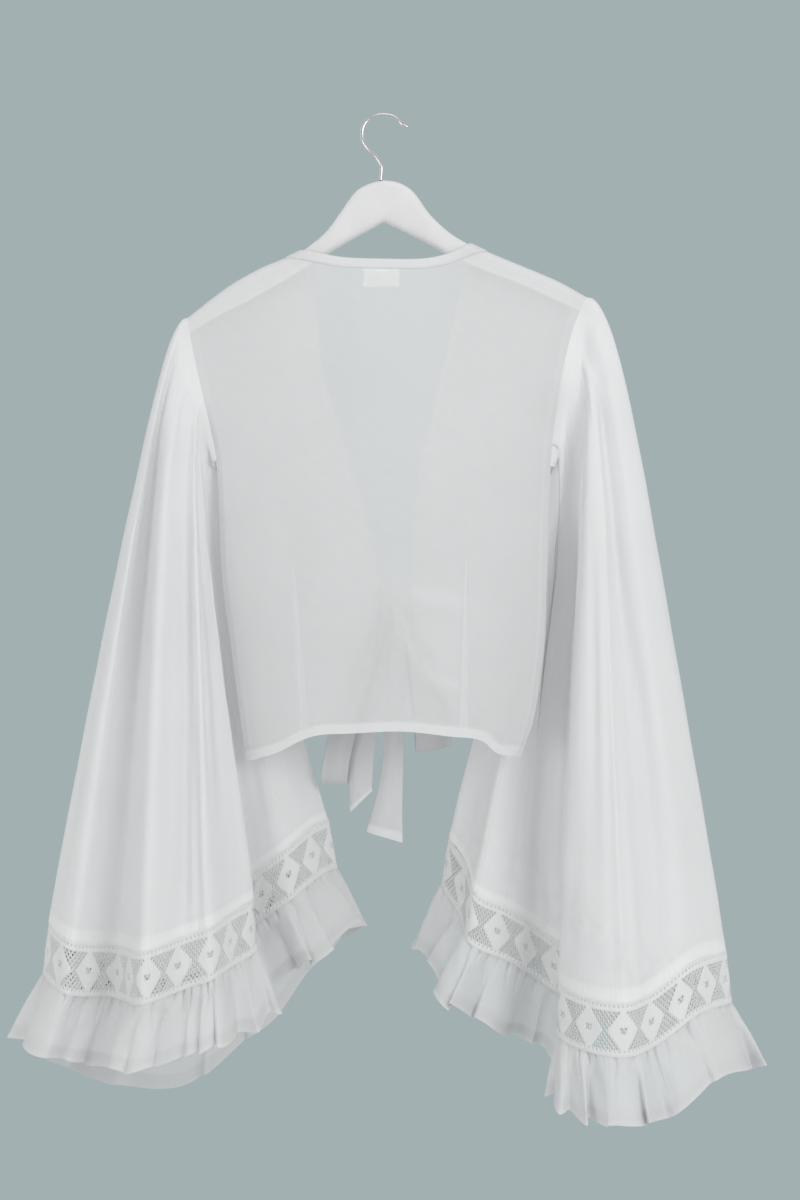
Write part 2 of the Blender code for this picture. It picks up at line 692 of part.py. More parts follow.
def make_hanger():
    """The hanger's wooden body: oval-cornered sections from end to end, closed at both."""
    angle = 2 * np.pi * (np.arange(HANGER_SIDES) + 0.5) / HANGER_SIDES
    square = 0.8
    across = np.sign(np.cos(angle)) * np.abs(np.cos(angle)) ** square
    up = np.sign(np.sin(angle)) * np.abs(np.sin(angle)) ** square
    rings = []
    for x, top, under, thick in hanger_sections():
        middle, half = -(top + under) / 2, (under - top) / 2
        rings.append(np.stack([np.full_like(angle, x), across * thick / 2, middle + up * half], axis=-1))
    points = np.concatenate(rings)
    count = HANGER_SIDES
    faces = []
    for i in range(len(rings) - 1):
        for j in range(count):
            k = (j + 1) % count
            faces.append([i * count + j, i * count + k, (i + 1) * count + k, (i + 1) * count + j])
    faces.append(list(range(count)))
    faces.append(list(range(len(points) - count, len(points))))
    add_mesh("hanger_body", points, faces, "painted wood")


def make_hook():
    """The hook's wire: a curve with a round bevel and filled ends."""
    rows = np.stack([HOOK["x"], HOOK["drop"]], axis=-1)
    line = along(smooth(rows, np.linspace(0, len(rows) - 1, 200)), np.linspace(0, 1, HOOK_POINTS))
    curve = bpy.data.curves.new("hanger_hook", "CURVE")
    curve.dimensions = "3D"
    curve.bevel_depth = WIRE / 2 * METRE
    curve.bevel_resolution = 2
    curve.use_fill_caps = True
    spline = curve.splines.new("POLY")
    spline.points.add(len(line) - 1)
    for point, (x, drop) in zip(spline.points, line):
        point.co = (x * METRE, 0.0, -drop * METRE, 1.0)
    add_object("hanger_hook", curve, "chrome")


def main():
    for obj in list(bpy.data.objects):
        bpy.data.objects.remove(obj, do_unlink=True)
    make_hanger()
    make_hook()
    make_back()
    for side in SIGN:
        make_front(side)
        make_sleeve(side)
    make_knot()
    for name in STRIPS:
        make_strip(name)
    make_label("neck_label", LABEL)
    make_label("size_tab", TAB)


main()
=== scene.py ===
"""A sheer white wrap top with crochet lace bands and gathered ruffles on its bell sleeves, on a hanger.

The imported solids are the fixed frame. Each cloth piece here is a thin surface worked out with numpy on its
solid's form. Shapes are worked out in millimetres: x runs to the wearer's right, y from the back (-) to the
fronts (+), and a drop is measured down from the inside of the hook. Left and right are the wearer's, and the
left is at -x.
"""

import bpy
import numpy as np
from bpy.props import FloatProperty, FloatVectorProperty, IntProperty, PointerProperty
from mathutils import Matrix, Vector


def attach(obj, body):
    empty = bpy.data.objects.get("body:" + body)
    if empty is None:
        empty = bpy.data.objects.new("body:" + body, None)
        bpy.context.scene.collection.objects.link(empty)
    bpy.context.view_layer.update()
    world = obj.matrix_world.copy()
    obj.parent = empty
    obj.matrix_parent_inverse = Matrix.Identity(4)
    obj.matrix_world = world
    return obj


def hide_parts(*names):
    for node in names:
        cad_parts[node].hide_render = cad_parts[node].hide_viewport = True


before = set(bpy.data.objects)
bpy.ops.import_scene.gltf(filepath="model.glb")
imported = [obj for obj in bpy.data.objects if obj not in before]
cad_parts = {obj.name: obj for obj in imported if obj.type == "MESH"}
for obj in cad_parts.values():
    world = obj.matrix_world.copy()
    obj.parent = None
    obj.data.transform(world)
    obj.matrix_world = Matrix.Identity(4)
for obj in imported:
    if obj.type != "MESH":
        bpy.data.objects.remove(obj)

bl_info = {
    "name": "Sheer wrap top",
    "version": (1, 0, 0),
    "blender": (4, 5, 0),
    "location": "3D View > Sidebar > Wrap top",
    "description": "Builds a sheer wrap top with lace bands and ruffles on a wooden hanger",
    "category": "Add Mesh",
}

METRE = 0.001
SIGN = {"left": -1.0, "right": 1.0}


def table(names, *rows):
    """A table's columns by name."""
    return dict(zip(names.split(), np.array(rows, dtype=float).T))


# The stage in metres: the floor, what the lights and the camera look at, and the frame's height there
FLOOR_RADIUS = 0.95
FLOOR_HEIGHT = -1.38
FLOOR_CORNERS = 96
LIGHT_AIM = Vector((0.0, 0.0, -0.5))
CAMERA_AT = Vector((0.016, -2.4, -0.588))
CAMERA_AIM = Vector((0.016, 0.0, -0.488))
CAMERA_FAR = 2.402
FRAME_TALL = 1.2
SENSOR = 36.0

# The form that the solids have, from the same named sizes
SEAM = 0.3
CLOTH_WALL = 1.6
BINDING_WIDE = 10.0
ARM_CLEAR = 9.5
ARM_ROUND = 10.0
BACK_FULL = 24.0
FRONT_FULL = 34.0
FULL_AT = 300.0
EDGE_FULL = CLOTH_WALL / 2 + SEAM / 2
EDGE_OPEN_TO = 95.0
EDGE_SHUT_AT = 165.0

TOP = {
    "left": table(
        "out drop", (0, 62.7), (14, 66), (27, 73), (36, 84), (44, 96), (58, 115), (72, 127.5), (84, 136),
        (93, 141), (124, 154), (157, 173), (197, 204), (208, 213), (217, 230),
    ),
    "right": table(
        "out drop", (0, 62.7), (14, 65), (26, 71.5), (33, 79), (46, 97.5), (67, 117), (87, 129), (101, 136),
        (139, 152), (174, 167), (203, 183), (222, 194), (232, 211),
    ),
}
SIDE = {
    "left": table(
        "drop out", (204, 197), (235, 192), (289, 180), (349, 168), (462, 162), (532, 153), (593, 145),
        (649, 137),
    ),
    "right": table(
        "drop out", (183, 203), (214, 190), (265, 178), (354, 167), (521, 161), (552, 158), (608, 149),
        (644, 136),
    ),
}
UNDERARM_ROW = 3
NECKLINE = table("x drop", (-84, 136), (-58, 141.6), (-39, 145), (0, 146.8), (41, 146), (66, 140), (87, 129))
BACK_HEM = table(
    "x drop", (-137, 649), (-108, 641), (-71, 624), (-32, 621), (18, 619), (66, 624), (96, 628),
    (113, 641), (136, 644),
)
BINDING_END = {"left": 100.0, "right": 104.0}
FRONT_EDGE = {
    "left": table(
        "out drop", (84, 136), (72, 170), (62, 255), (39, 332), (13, 420), (6, 462), (6, 497), (12, 545),
        (32, 610),
    ),
    "right": table(
        "out drop", (87, 129), (80, 165), (68, 215), (51, 288), (33, 370), (27, 462), (27, 497), (45, 565),
        (84, 612),
    ),
}
KNOT_ROW = 6
FOLDS = {
    "left": table(
        "out fore drop bow_out bow_fore",
        (334, 15, 809, 15, 0),
        (305, -42, 823, 17, -6),
        (268, -12, 829, 24, 4),
        (230, -78, 828, 20, -8),
        (192, -52, 816, 13, 0),
        (168, -60, 807, 10, -4),
        (149, -22, 796, 14, 2),
        (131, 8, 785, 13, 6),
        (140, 48, 770, 11, 8),
        (102, 36, 739, 8, 10),
        (72, 66, 715, 5, 12),
        (58, 98, 713, 2, 14),
        (92, 130, 748, 5, 20),
        (142, 126, 812, 10, 22),
        (208, 108, 866, 14, 18),
        (287, 66, 847, 16, 8),
    ),
    "right": table(
        "out fore drop bow_out bow_fore",
        (342, 15, 838, 21, 0),
        (301, -45, 843, 21, -6),
        (262, -56, 870, 20, 2),
        (231, -80, 878, 22, -8),
        (196, -62, 875, 20, -6),
        (172, -24, 864, 20, 0),
        (190, 34, 845, 16, 6),
        (164, 60, 825, 13, 8),
        (128, 42, 800, 10, 8),
        (93, 32, 782, 7, 9),
        (84, 62, 756, 5, 12),
        (68, 94, 725, 2, 14),
        (105, 124, 722, 6, 22),
        (164, 134, 753, 12, 24),
        (236, 118, 819, 16, 18),
        (309, 66, 847, 18, 8),
    ),
}
UNDERARM_FOLD = 9
UNDERARM_CLEAR = 1.8
BOW_OUT_SHARE = 0.4
BOW_FORE_SHARE = 0.7
LACE_TALL = 52.0
RUFFLE_TALL = 66.0
FACETS = 21
RUFFLE_FLARE = 0.3
WAVE_DEEP = 6.5
WAVE_CALM = 0.35

HANGER_UNDER = {
    "left": table("out drop", (0, 107), (54, 138), (70, 150), (131, 187), (165, 204), (211, 233)),
    "right": table("out drop", (0, 107), (46, 130), (76, 148), (140, 174), (192, 198), (226, 214)),
}
HANGER_TIP = {"left": 206.0, "right": 217.0}
HANGER_THICK = 13.0
HANGER_END = 16.0
REST = CLOTH_WALL / 2 + 1.3
WIRE = 3.5
HOOK = table(
    "x drop", (-3.5, 64.7), (-3, 50), (-8, 41), (-16, 33), (-21.3, 24), (-21.5, 12), (-16, 3), (-8, -1),
    (0, -1.75), (8, -0.5), (15, 4), (19.5, 9), (25, 11),
)

KNOT_CENTRE = np.array([10.5, 50.0, -480.0])
KNOT_HALF = np.array([21.0, 9.0, 19.0])
STRIP_NAMES = "x fore drop wide turn hollow slant"
STRIPS = {
    "tie_loop_left": table(
        STRIP_NAMES,
        (1, 47, 499, 12, 0, 0, 0),
        (-12, 50, 530, 20, 0, 2, 0),
        (-34, 52, 590, 26, 0, 3, 0),
        (-47, 54, 640, 27, 0, 3, 0),
        (-51, 58, 666, 27, 0, 1, 0),
        (-51, 65, 674, 27, 0, 0, 0),
        (-50, 73, 670, 27, 0, 1, 0),
        (-44, 76, 644, 27, 0, 2, 0),
        (-30, 74, 592, 26, 0, 2, 0),
        (-10, 66, 530, 18, 0, 1, 0),
        (2, 54, 499, 12, 0, 0, 0),
    ),
    "tie_loop_right": table(
        STRIP_NAMES,
        (20, 47, 499, 12, 0, 0, 0),
        (34, 50, 530, 22, 0, 2, 0),
        (45, 51, 572, 34, -6, 3, 0),
        (49, 53, 610, 36, -8, 3, 0),
        (50, 56, 630, 36, -10, 2, 0),
        (50, 62, 638, 36, -10, 1, 0),
        (49, 69, 634, 35, -8, 1, 0),
        (47, 72, 615, 34, -6, 2, 0),
        (38, 71, 560, 30, -4, 3, 0),
        (29, 65, 528, 20, -2, 2, 0),
        (19, 54, 499, 12, 0, 0, 0),
    ),
    "tie_tail_left": table(
        STRIP_NAMES,
        (5, 50.5, 499, 10, 0, 0, 0),
        (-2, 58, 530, 18, 0, 1, 0),
        (-14, 62, 590, 24, 0, 2, 0),
        (-22, 62, 640, 25, 0, 3, 0),
        (-24, 62, 672, 24, 0, 3, 8),
        (-24, 62, 692, 23, 0, 2, 22),
    ),
    "tie_tail_right": table(
        STRIP_NAMES,
        (16, 50.5, 499, 10, 0, 0, 0),
        (15, 54, 530, 17, 0, 1, 0),
        (11, 58, 590, 20, 8, 3, 0),
        (9, 60, 650, 22, 12, 3, 0),
        (5, 61, 690, 28, 8, 3, 0),
        (0, 61, 728, 39, 4, 3, -6),
    ),
}

# What only the looks have: seams, tucks and hems in millimetres
DARTS = table("top_x top_drop low_x low_drop", (-91, 452, -81, 618), (82, 438, 83, 614))
HEM_WIDE = 12.0
VALLEY = {"left": -11.0, "right": 13.0}
VALLEY_FOLD = 7.6
TUCK_OUT = 8.0
TUCK_FORE = 6.0
ALLOWANCE = 9.0
DART_WIDE = 8.0
STITCH_UP = 0.2
# How finely the surfaces are laid: steps between a table's rows, a sleeve's and a ruffle's lines for each
# fold, and the sleeve's rows that the lace and the ruffle start from
SPAN = 12
SLEEVE_LINES = 26
RUFFLE_LINES = 66
STEEP_AT = 0.83
LOW_ROWS = np.array([0.0, 0.5, STEEP_AT, 0.9, 1.0])
# Ridges (high above 0) and troughs of a sleeve's back: their line from top to low, their width and height
CREASE_NAMES = "top_out top_drop mid_out mid_drop low_out low_drop wide high"
CREASES = {
    "left": table(
        CREASE_NAMES,
        (228, 330, 255, 560, 281, 800, 9, -3.2),
        (214, 300, 222, 540, 226, 815, 11, 2.6),
        (196, 380, 196, 600, 196, 812, 7, -2.2),
        (182, 330, 181, 560, 180, 790, 8, 2.0),
        (176, 360, 168, 560, 166, 780, 6, -1.4),
        (252, 380, 282, 600, 300, 800, 9, 1.6),
        (196, 230, 204, 330, 214, 430, 8, -1.4),
    ),
    "right": table(
        CREASE_NAMES,
        (184, 205, 181, 285, 178, 372, 8, 4.0),
        (198, 215, 193, 350, 181, 520, 8, -9.0),
        (184, 420, 172, 580, 158, 790, 13, -9.0),
        (207, 250, 199, 470, 178, 790, 8, 5.5),
        (232, 380, 262, 560, 296, 790, 11, 2.4),
        (244, 520, 262, 690, 268, 850, 8, -2.4),
        (222, 430, 226, 640, 228, 850, 9, -1.8),
        (290, 560, 318, 700, 330, 820, 9, 1.8),
    ),
}


def smooth(points, at, closed=False):
    """Points of a smooth curve through the given ones, at fractional places in their list. Between two
    points it is a cubic whose end slopes blend the chords on either side."""
    points = np.asarray(points, dtype=float)
    count = len(points)
    spans = count if closed else count - 1
    following = np.roll(points, -1, axis=0) if closed else points[1:]
    chord = following - points[:spans]
    step = np.sqrt(np.linalg.norm(chord, axis=1))[:, None]
    rate = chord / step
    slope = np.empty_like(points)
    if closed:
        rate_before, step_before = np.roll(rate, 1, axis=0), np.roll(step, 1, axis=0)
        slope[:] = (rate_before * step + rate * step_before) / (step + step_before)
    else:
        slope[1:-1] = (rate[:-1] * step[1:] + rate[1:] * step[:-1]) / (step[1:] + step[:-1])
        slope[0], slope[-1] = rate[0], rate[-1]
    first = np.clip(np.floor(at).astype(int), 0, spans - 1)
    second = (first + 1) % count
    f = (np.asarray(at, dtype=float) - first)[:, None]
    a, b = points[first], points[second]
    slope_a, slope_b = slope[first] * step[first], slope[second] * step[first]
    return (
        a * (1 + 2 * f) * (1 - f) ** 2
        + slope_a * f * (1 - f) ** 2
        + b * f**2 * (3 - 2 * f)
        + slope_b * f**2 * (f - 1)
    )


def shares_of(points):
    """How far along a polyline each of its points lies, as a share of its length."""
    length = np.concatenate([[0.0], np.cumsum(np.linalg.norm(np.diff(points, axis=0), axis=1))])
    return length / length[-1]


def rows_of(columns):
    """A table's rows."""
    return np.stack(list(columns.values()), axis=-1)


def read_rows(at, places, rows):
    """Rows read off between those that stand at the given places."""
    return np.stack([np.interp(at, places, c) for c in rows.T], axis=-1)


def along(points, shares):
    """Points, or rows that start with them, at these shares of their polyline's length."""
    points = np.asarray(points, dtype=float)
    return read_rows(shares, shares_of(points), points)


def dense(columns):
    """A table's smooth curve, in many short steps."""
    points = rows_of(columns)
    return smooth(points, np.linspace(0, len(points) - 1, SPAN * (len(points) - 1) + 1))


def ease(value):
    """0 up to 0, 1 from 1, and smooth between."""
    value = np.clip(value, 0.0, 1.0)
    return value * value * (3 - 2 * value)


def bump(value, wide):
    """A soft ridge round 0: a bell of this width."""
    return np.exp(-((value / wide) ** 2))


RIDGE_LEFT, RIDGE_RIGHT = (dense(TOP[s]) for s in SIGN)
RIDGE_X = np.concatenate([-RIDGE_LEFT[:0:-1, 0], RIDGE_RIGHT[:, 0]])
RIDGE_DROP = np.concatenate([RIDGE_LEFT[:0:-1, 1], RIDGE_RIGHT[:, 1]])
SIDE_LEFT, SIDE_RIGHT = (dense(SIDE[s]) for s in SIGN)


def ridge_drop(x):
    """Drop of the line just over the hanger's top."""
    return np.interp(x, RIDGE_X, RIDGE_DROP)


def side_out(x, drop):
    """How far out the panels' side edge is at this drop, on x's side."""
    left, right = (np.interp(drop, line[:, 0], line[:, 1]) for line in (SIDE_LEFT, SIDE_RIGHT))
    return np.where(x < 0, left, right)


def over_arm(x, drop):
    """Sine and cosine of how far the cloth has turned over the hanger's arm: level on its top, upright
    below it."""
    under = np.clip((drop - ridge_drop(x)) / ARM_ROUND, 0.0, 1.0)
    return np.sqrt(1 - (1 - under) ** 2), 1 - under


def to_edge(x, drop):
    """How far a place is from the middle to the panels' side edge, as a share."""
    return np.clip(np.abs(x) / side_out(x, drop), 0, 1)


def seam_shut(x, drop):
    """0 where back and fronts stand apart over the arm, 1 from where their side edges meet, and smooth
    between."""
    return ease((drop - ridge_drop(x) - EDGE_OPEN_TO) / (EDGE_SHUT_AT - EDGE_OPEN_TO))


def swell(x, drop, face):
    """How far a panel stands from the middle plane below the hanger's arm: a lens that closes at the side
    seams."""
    full = BACK_FULL if face < 0 else FRONT_FULL
    under = np.clip(drop - ridge_drop(x), 0.0, None)
    edge = to_edge(x, drop)
    closing = 1 - (1 - EDGE_FULL / ARM_CLEAR) * seam_shut(x, drop) * edge**3
    return ARM_CLEAR * closing + full * ease(under / FULL_AT) * (1 - edge**2.2)


def on_panel(flat, face):
    """Points (x, drop) put on the back (face -1) or the fronts (face 1). Over the arm the swell follows an
    oval."""
    flat = np.asarray(flat, dtype=float)
    x, drop = flat[..., 0], flat[..., 1]
    turned, _ = over_arm(x, drop)
    closed = seam_shut(x, drop) * ease((to_edge(x, drop) - 0.975) / 0.025)
    y = swell(x, drop, face) * turned * (1 - closed)
    return np.stack([x, face * y, -drop], axis=-1)


def facing(flat, face):
    """The panel's unit normals there: square to the swell, turning square to the ridge over the arm."""
    flat = np.asarray(flat, dtype=float)
    x, drop = flat[..., 0], flat[..., 1]
    turned, level = over_arm(x, drop)
    slope_x = (swell(x + 1, drop, face) - swell(x - 1, drop, face)) / 2
    slope_drop = (swell(x, drop + 1, face) - swell(x, drop - 1, face)) / 2
    fall = (ridge_drop(x + 1) - ridge_drop(x - 1)) / 2
    out = np.stack([-slope_x, np.full_like(x, face), slope_drop], axis=-1)
    up = np.stack([fall, np.zeros_like(x), np.ones_like(x)], axis=-1)
    normal = turned[..., None] * out + level[..., None] * up / np.linalg.norm(up, axis=-1, keepdims=True)
    return normal / np.linalg.norm(normal, axis=-1, keepdims=True)


def on_cloth(flat, face, lift):
    """Points on a panel, lifted off its form by this much."""
    return on_panel(flat, face) + facing(flat, face) * lift[..., None]


def patch(top, bottom, left, right, rows):
    """A net (x, drop) filled in between four edges: the blend of its top and bottom plus the blend of its
    sides, less the blend of its corners."""
    u = shares_of(top)
    v = rows[:, None, None]
    a, b = top[None], along(bottom, u)[None]
    c, d = left[:, None], right[:, None]
    s = u[None, :, None]
    corners = (1 - v) * ((1 - s) * a[:, :1] + s * a[:, -1:]) + v * ((1 - s) * b[:, :1] + s * b[:, -1:])
    return (1 - v) * a + v * b + (1 - s) * c + s * d - corners


def unit(vectors):
    """The vectors at length 1."""
    return vectors / np.maximum(np.linalg.norm(vectors, axis=-1, keepdims=True), 1e-9)


def normals_of(grid, closed=False):
    """Unit normals of a grid of points, by the cross product of its two directions."""
    if closed:
        across = np.roll(grid, -1, axis=1) - np.roll(grid, 1, axis=1)
    else:
        across = np.gradient(grid, axis=1)
    return unit(np.cross(across, np.gradient(grid, axis=0)))


def add_mesh(name, points, faces, uv, material, body="root", backed=None):
    """An object from points in millimetres, faces of three or four corners and a UV for each point. The
    backed attribute says how much of a point has something white against its inside; the cloth's colour is
    painted whiter there, as painted light."""
    mesh = bpy.data.meshes.new(name)
    points = np.asarray(points, dtype=np.float32) * METRE
    corners = np.concatenate([np.asarray(f).ravel() for f in faces]).astype(np.int32)
    sizes = np.concatenate([np.full(len(f), np.asarray(f).shape[1]) for f in faces]).astype(np.int32)
    mesh.vertices.add(len(points))
    mesh.vertices.foreach_set("co", points.ravel())
    mesh.loops.add(len(corners))
    mesh.loops.foreach_set("vertex_index", corners)
    mesh.polygons.add(len(sizes))
    mesh.polygons.foreach_set("loop_start", np.concatenate([[0], np.cumsum(sizes)[:-1]]).astype(np.int32))
    mesh.polygons.foreach_set("loop_total", sizes)
    layer = mesh.uv_layers.new(name="cloth")
    layer.data.foreach_set("uv", np.asarray(uv, dtype=np.float32)[corners].ravel())
    if backed is not None:
        mesh.attributes.new("backed", "FLOAT", "POINT").data.foreach_set("value", backed.astype(np.float32))
    mesh.update(calc_edges=True)
    mesh.validate()
    mesh.shade_smooth()
    obj = bpy.data.objects.new(name, mesh)
    bpy.context.scene.collection.objects.link(obj)
    mesh.materials.append(material)
    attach(obj, body)
    return obj


def quads(index):
    """Faces of a grid of point numbers."""
    return np.stack([index[:-1, :-1], index[:-1, 1:], index[1:, 1:], index[1:, :-1]], axis=-1).reshape(-1, 4)


def lay_sheets(name, sheets, material):
    """One object of several thin sheets. Each is a grid of points, whether its columns close, the way it
    faces, its UV's start, whose scale is metres along the cloth, and how far it is backed, if it is; where
    it is backed the cloth is painted whiter, as painted light."""
    points, faces, uvs, backing, count = [], [], [], [], 0
    for grid, closed, outward, start, *backed in sheets:
        rows, columns = grid.shape[:2]
        across = np.linalg.norm(np.diff(grid, axis=1), axis=-1).mean(axis=0)
        down = np.linalg.norm(np.diff(grid, axis=0), axis=-1).mean(axis=1)
        u = np.concatenate([[0.0], np.cumsum(across)]) * METRE + start[0]
        v = start[1] - np.concatenate([[0.0], np.cumsum(down)]) * METRE
        index = np.arange(rows * columns).reshape(rows, columns) + count
        if closed:
            index = np.concatenate([index, index[:, :1]], axis=1)
        found = quads(index)
        normal = normals_of(grid, closed)
        if np.sum(normal * outward) > 0:
            found = found[:, ::-1]
        points.append(grid.reshape(-1, 3))
        backing.append((np.zeros((rows, columns)) + (backed[0] if backed else 0.0)).ravel())
        faces.append(found)
        uvs.append(np.stack(np.meshgrid(u, v), axis=-1).reshape(-1, 2))
        count += rows * columns
    points, faces, uvs, backing = (np.concatenate(parts) for parts in (points, faces, uvs, backing))
    return add_mesh(name, points, [faces], uvs, material, backed=backing)


def sew(name, lines, thread, body="root"):
    """Rows of stitches: small ovals of thread, one for each step along each line, that lie on the cloth and
    point along it. An oval is four rings of six points between two tips."""
    step, half, thick = 3.1, 1.05, 0.24
    centres, ways, normals = [], [], []
    for points, outward in lines:
        count = int(np.linalg.norm(np.diff(points, axis=0), axis=1).sum() / step)
        place = (np.arange(count) + 0.5) / count
        share = shares_of(points)
        centres.append(read_rows(place, share, points))
        normals.append(unit(read_rows(place, share, outward)))
        ways.append(unit(np.gradient(centres[-1], axis=0)))
    centres, ways, normals = (np.concatenate(parts)[:, None] for parts in (centres, ways, normals))
    sides = np.cross(ways, normals)
    place = np.repeat([-0.8, -0.3, 0.3, 0.8], 6)[None, :, None]
    turn = np.tile(np.arange(6) * np.pi / 3, 4)[None, :, None]
    radius = np.sqrt(1 - place**2) * thick
    rings = centres + ways * place * half + (sides * np.cos(turn) + normals * np.sin(turn)) * radius
    points = np.concatenate([rings, centres - ways * half, centres + ways * half], axis=1)
    ring = np.arange(24).reshape(4, 6)
    following = np.roll(ring, -1, axis=1)
    walls = np.stack([ring[:-1], ring[1:], following[1:], following[:-1]], axis=-1).reshape(-1, 4)
    tips = np.concatenate([
        np.stack([np.full(6, 24), ring[0], following[0]], axis=-1),
        np.stack([np.full(6, 25), following[3], ring[3]], axis=-1),
    ])
    start = np.arange(len(points))[:, None, None] * points.shape[1]
    faces = [(walls[None] + start).reshape(-1, 4), (tips[None] + start).reshape(-1, 3)]
    uv = np.stack([points[..., 0], points[..., 2]], axis=-1).reshape(-1, 2) * METRE
    return add_mesh(name, points.reshape(-1, 3), faces, uv, thread, body)


# Panels

def fine_rows(count):
    """Shares down a panel, closer together at the top, where the cloth turns over the hanger's arm."""
    return np.linspace(0, 1, count) ** 1.8


def side_line(side, rows):
    """A panel's side edge (x, drop) at these shares of its length, from the shoulder to the hem."""
    line = SIDE_LEFT if side == "left" else SIDE_RIGHT
    return along(np.stack([SIGN[side] * line[:, 1], line[:, 0]], axis=-1), rows)


def shoulder_line(side, inner, shares):
    """Points of the shoulder seam (x, drop), between a place out from the middle and the armhole."""
    out = inner + (SIDE[side]["out"][0] - inner) * np.asarray(shares)
    return np.stack([SIGN[side] * out, ridge_drop(SIGN[side] * out)], axis=-1)


def neck_lines(count):
    """The back neckline's top edge, the binding's lower edge and the panel's edge a seam below it."""
    shares = 0.5 - 0.5 * np.cos(np.pi * np.arange(count + 1) / count)
    top = along(dense(NECKLINE), shares)
    heading = unit(np.gradient(top, axis=0))
    square = np.stack([-heading[:, 1], heading[:, 0]], axis=-1)
    lines = [top]
    for away in (BINDING_WIDE, BINDING_WIDE + SEAM):
        line = top + away * square
        for side, end in (("left", 0), ("right", -1)):
            x = SIGN[side] * (BINDING_END[side] + away - BINDING_WIDE)
            shift = np.array([x, ridge_drop(x)]) - line[end]
            reach = np.exp(-np.linalg.norm(top - top[end], axis=1) / BINDING_WIDE)
            line += reach[:, None] * shift
        lines.append(line)
    return lines


def front_edge(side, wide=0.0, seam=0.0):
    """A front's inner edge (x, drop) in short steps, moved outwards by a seam, and by a binding's width
    down to the knot."""
    out, drop = dense(FRONT_EDGE[side]).T
    steps = np.arange(len(out))
    out = out + seam + wide * ease((SPAN * KNOT_ROW + 6 - steps) / 14)
    if wide:
        start = BINDING_END[side] + seam
        fade = np.exp(-steps / 6)
        out = out + fade * (start - out[0])
        drop = drop + fade * (ridge_drop(SIGN[side] * start) - drop[0])
    return np.stack([SIGN[side] * out, drop], axis=-1)


def dart_relief(flat):
    """A dart's seam: a narrow groove along its line, that starts from nothing and deepens to the hem."""
    x, drop = flat[..., 0], flat[..., 1]
    relief = np.zeros_like(x)
    for top_x, top_drop, low_x, low_drop in rows_of(DARTS):
        down = (drop - top_drop) / (low_drop - top_drop)
        line = top_x + (low_x - top_x) * np.clip(down, 0, 1.2)
        open_at = ease(down * 4) * ease((1.02 - down) * 30)
        aside = x - line
        step = 0.5 * bump(aside, 9.0) * np.sign(x) * np.tanh(aside / 1.5)
        relief += open_at * (step - 0.45 * bump(aside, 2.2)) - 1.6 * bump(aside, 18) * bump(down, 0.35)
    return relief


def hang_relief(flat, seed, strength):
    """The hang of a panel: soft upright folds that drift sideways as they fall, deepen downwards, and die
    out at the side seams, with long shallow hollows under the shoulders."""
    x, drop = flat[..., 0], flat[..., 1]
    under = drop - ridge_drop(x)
    edge = to_edge(x, drop)
    grown = ease((under - 40) / 330) * (1 - edge**6)
    wander = 6 * np.sin(drop / 90 + seed) + 4 * np.sin(drop / 41 + 2.1 * seed)
    folds = (
        1.5 * np.sin((x + wander) / 15.5 + seed)
        + 1.1 * np.sin((x - 0.7 * wander) / 9.3 + 1.7 * seed)
        + 2.2 * np.sin((x + 0.4 * wander) / 33 - seed)
    )
    broken = 0.55 + 0.45 * np.sin(drop / 120 + x / 60 + 2 * seed)
    puckers = 0.35 * np.sin((x + 0.4 * drop) / 3.4 + seed) * bump(under - 18, 12)
    puckers *= 0.5 + 0.5 * np.sin(x / 23)
    return strength * grown * folds * broken + puckers * (1 - edge**8)


def crumple(flat, seed):
    """Fine crepe-like unevenness: five crossing ripples of a few centimetres, a few tenths of a millimetre
    deep."""
    x, drop = flat[..., 0], flat[..., 1]
    total = np.zeros_like(x)
    for k, (turn, long) in enumerate(((0.4, 31), (1.3, 23), (2.2, 17), (2.9, 27), (0.9, 13))):
        total += np.sin((x * np.cos(turn) + drop * np.sin(turn)) / long * 2 * np.pi + seed * (k + 1)) / 5
    edge = to_edge(x, drop)
    return 0.35 * total * (1 - edge**10) * ease((drop - ridge_drop(x)) / 8)


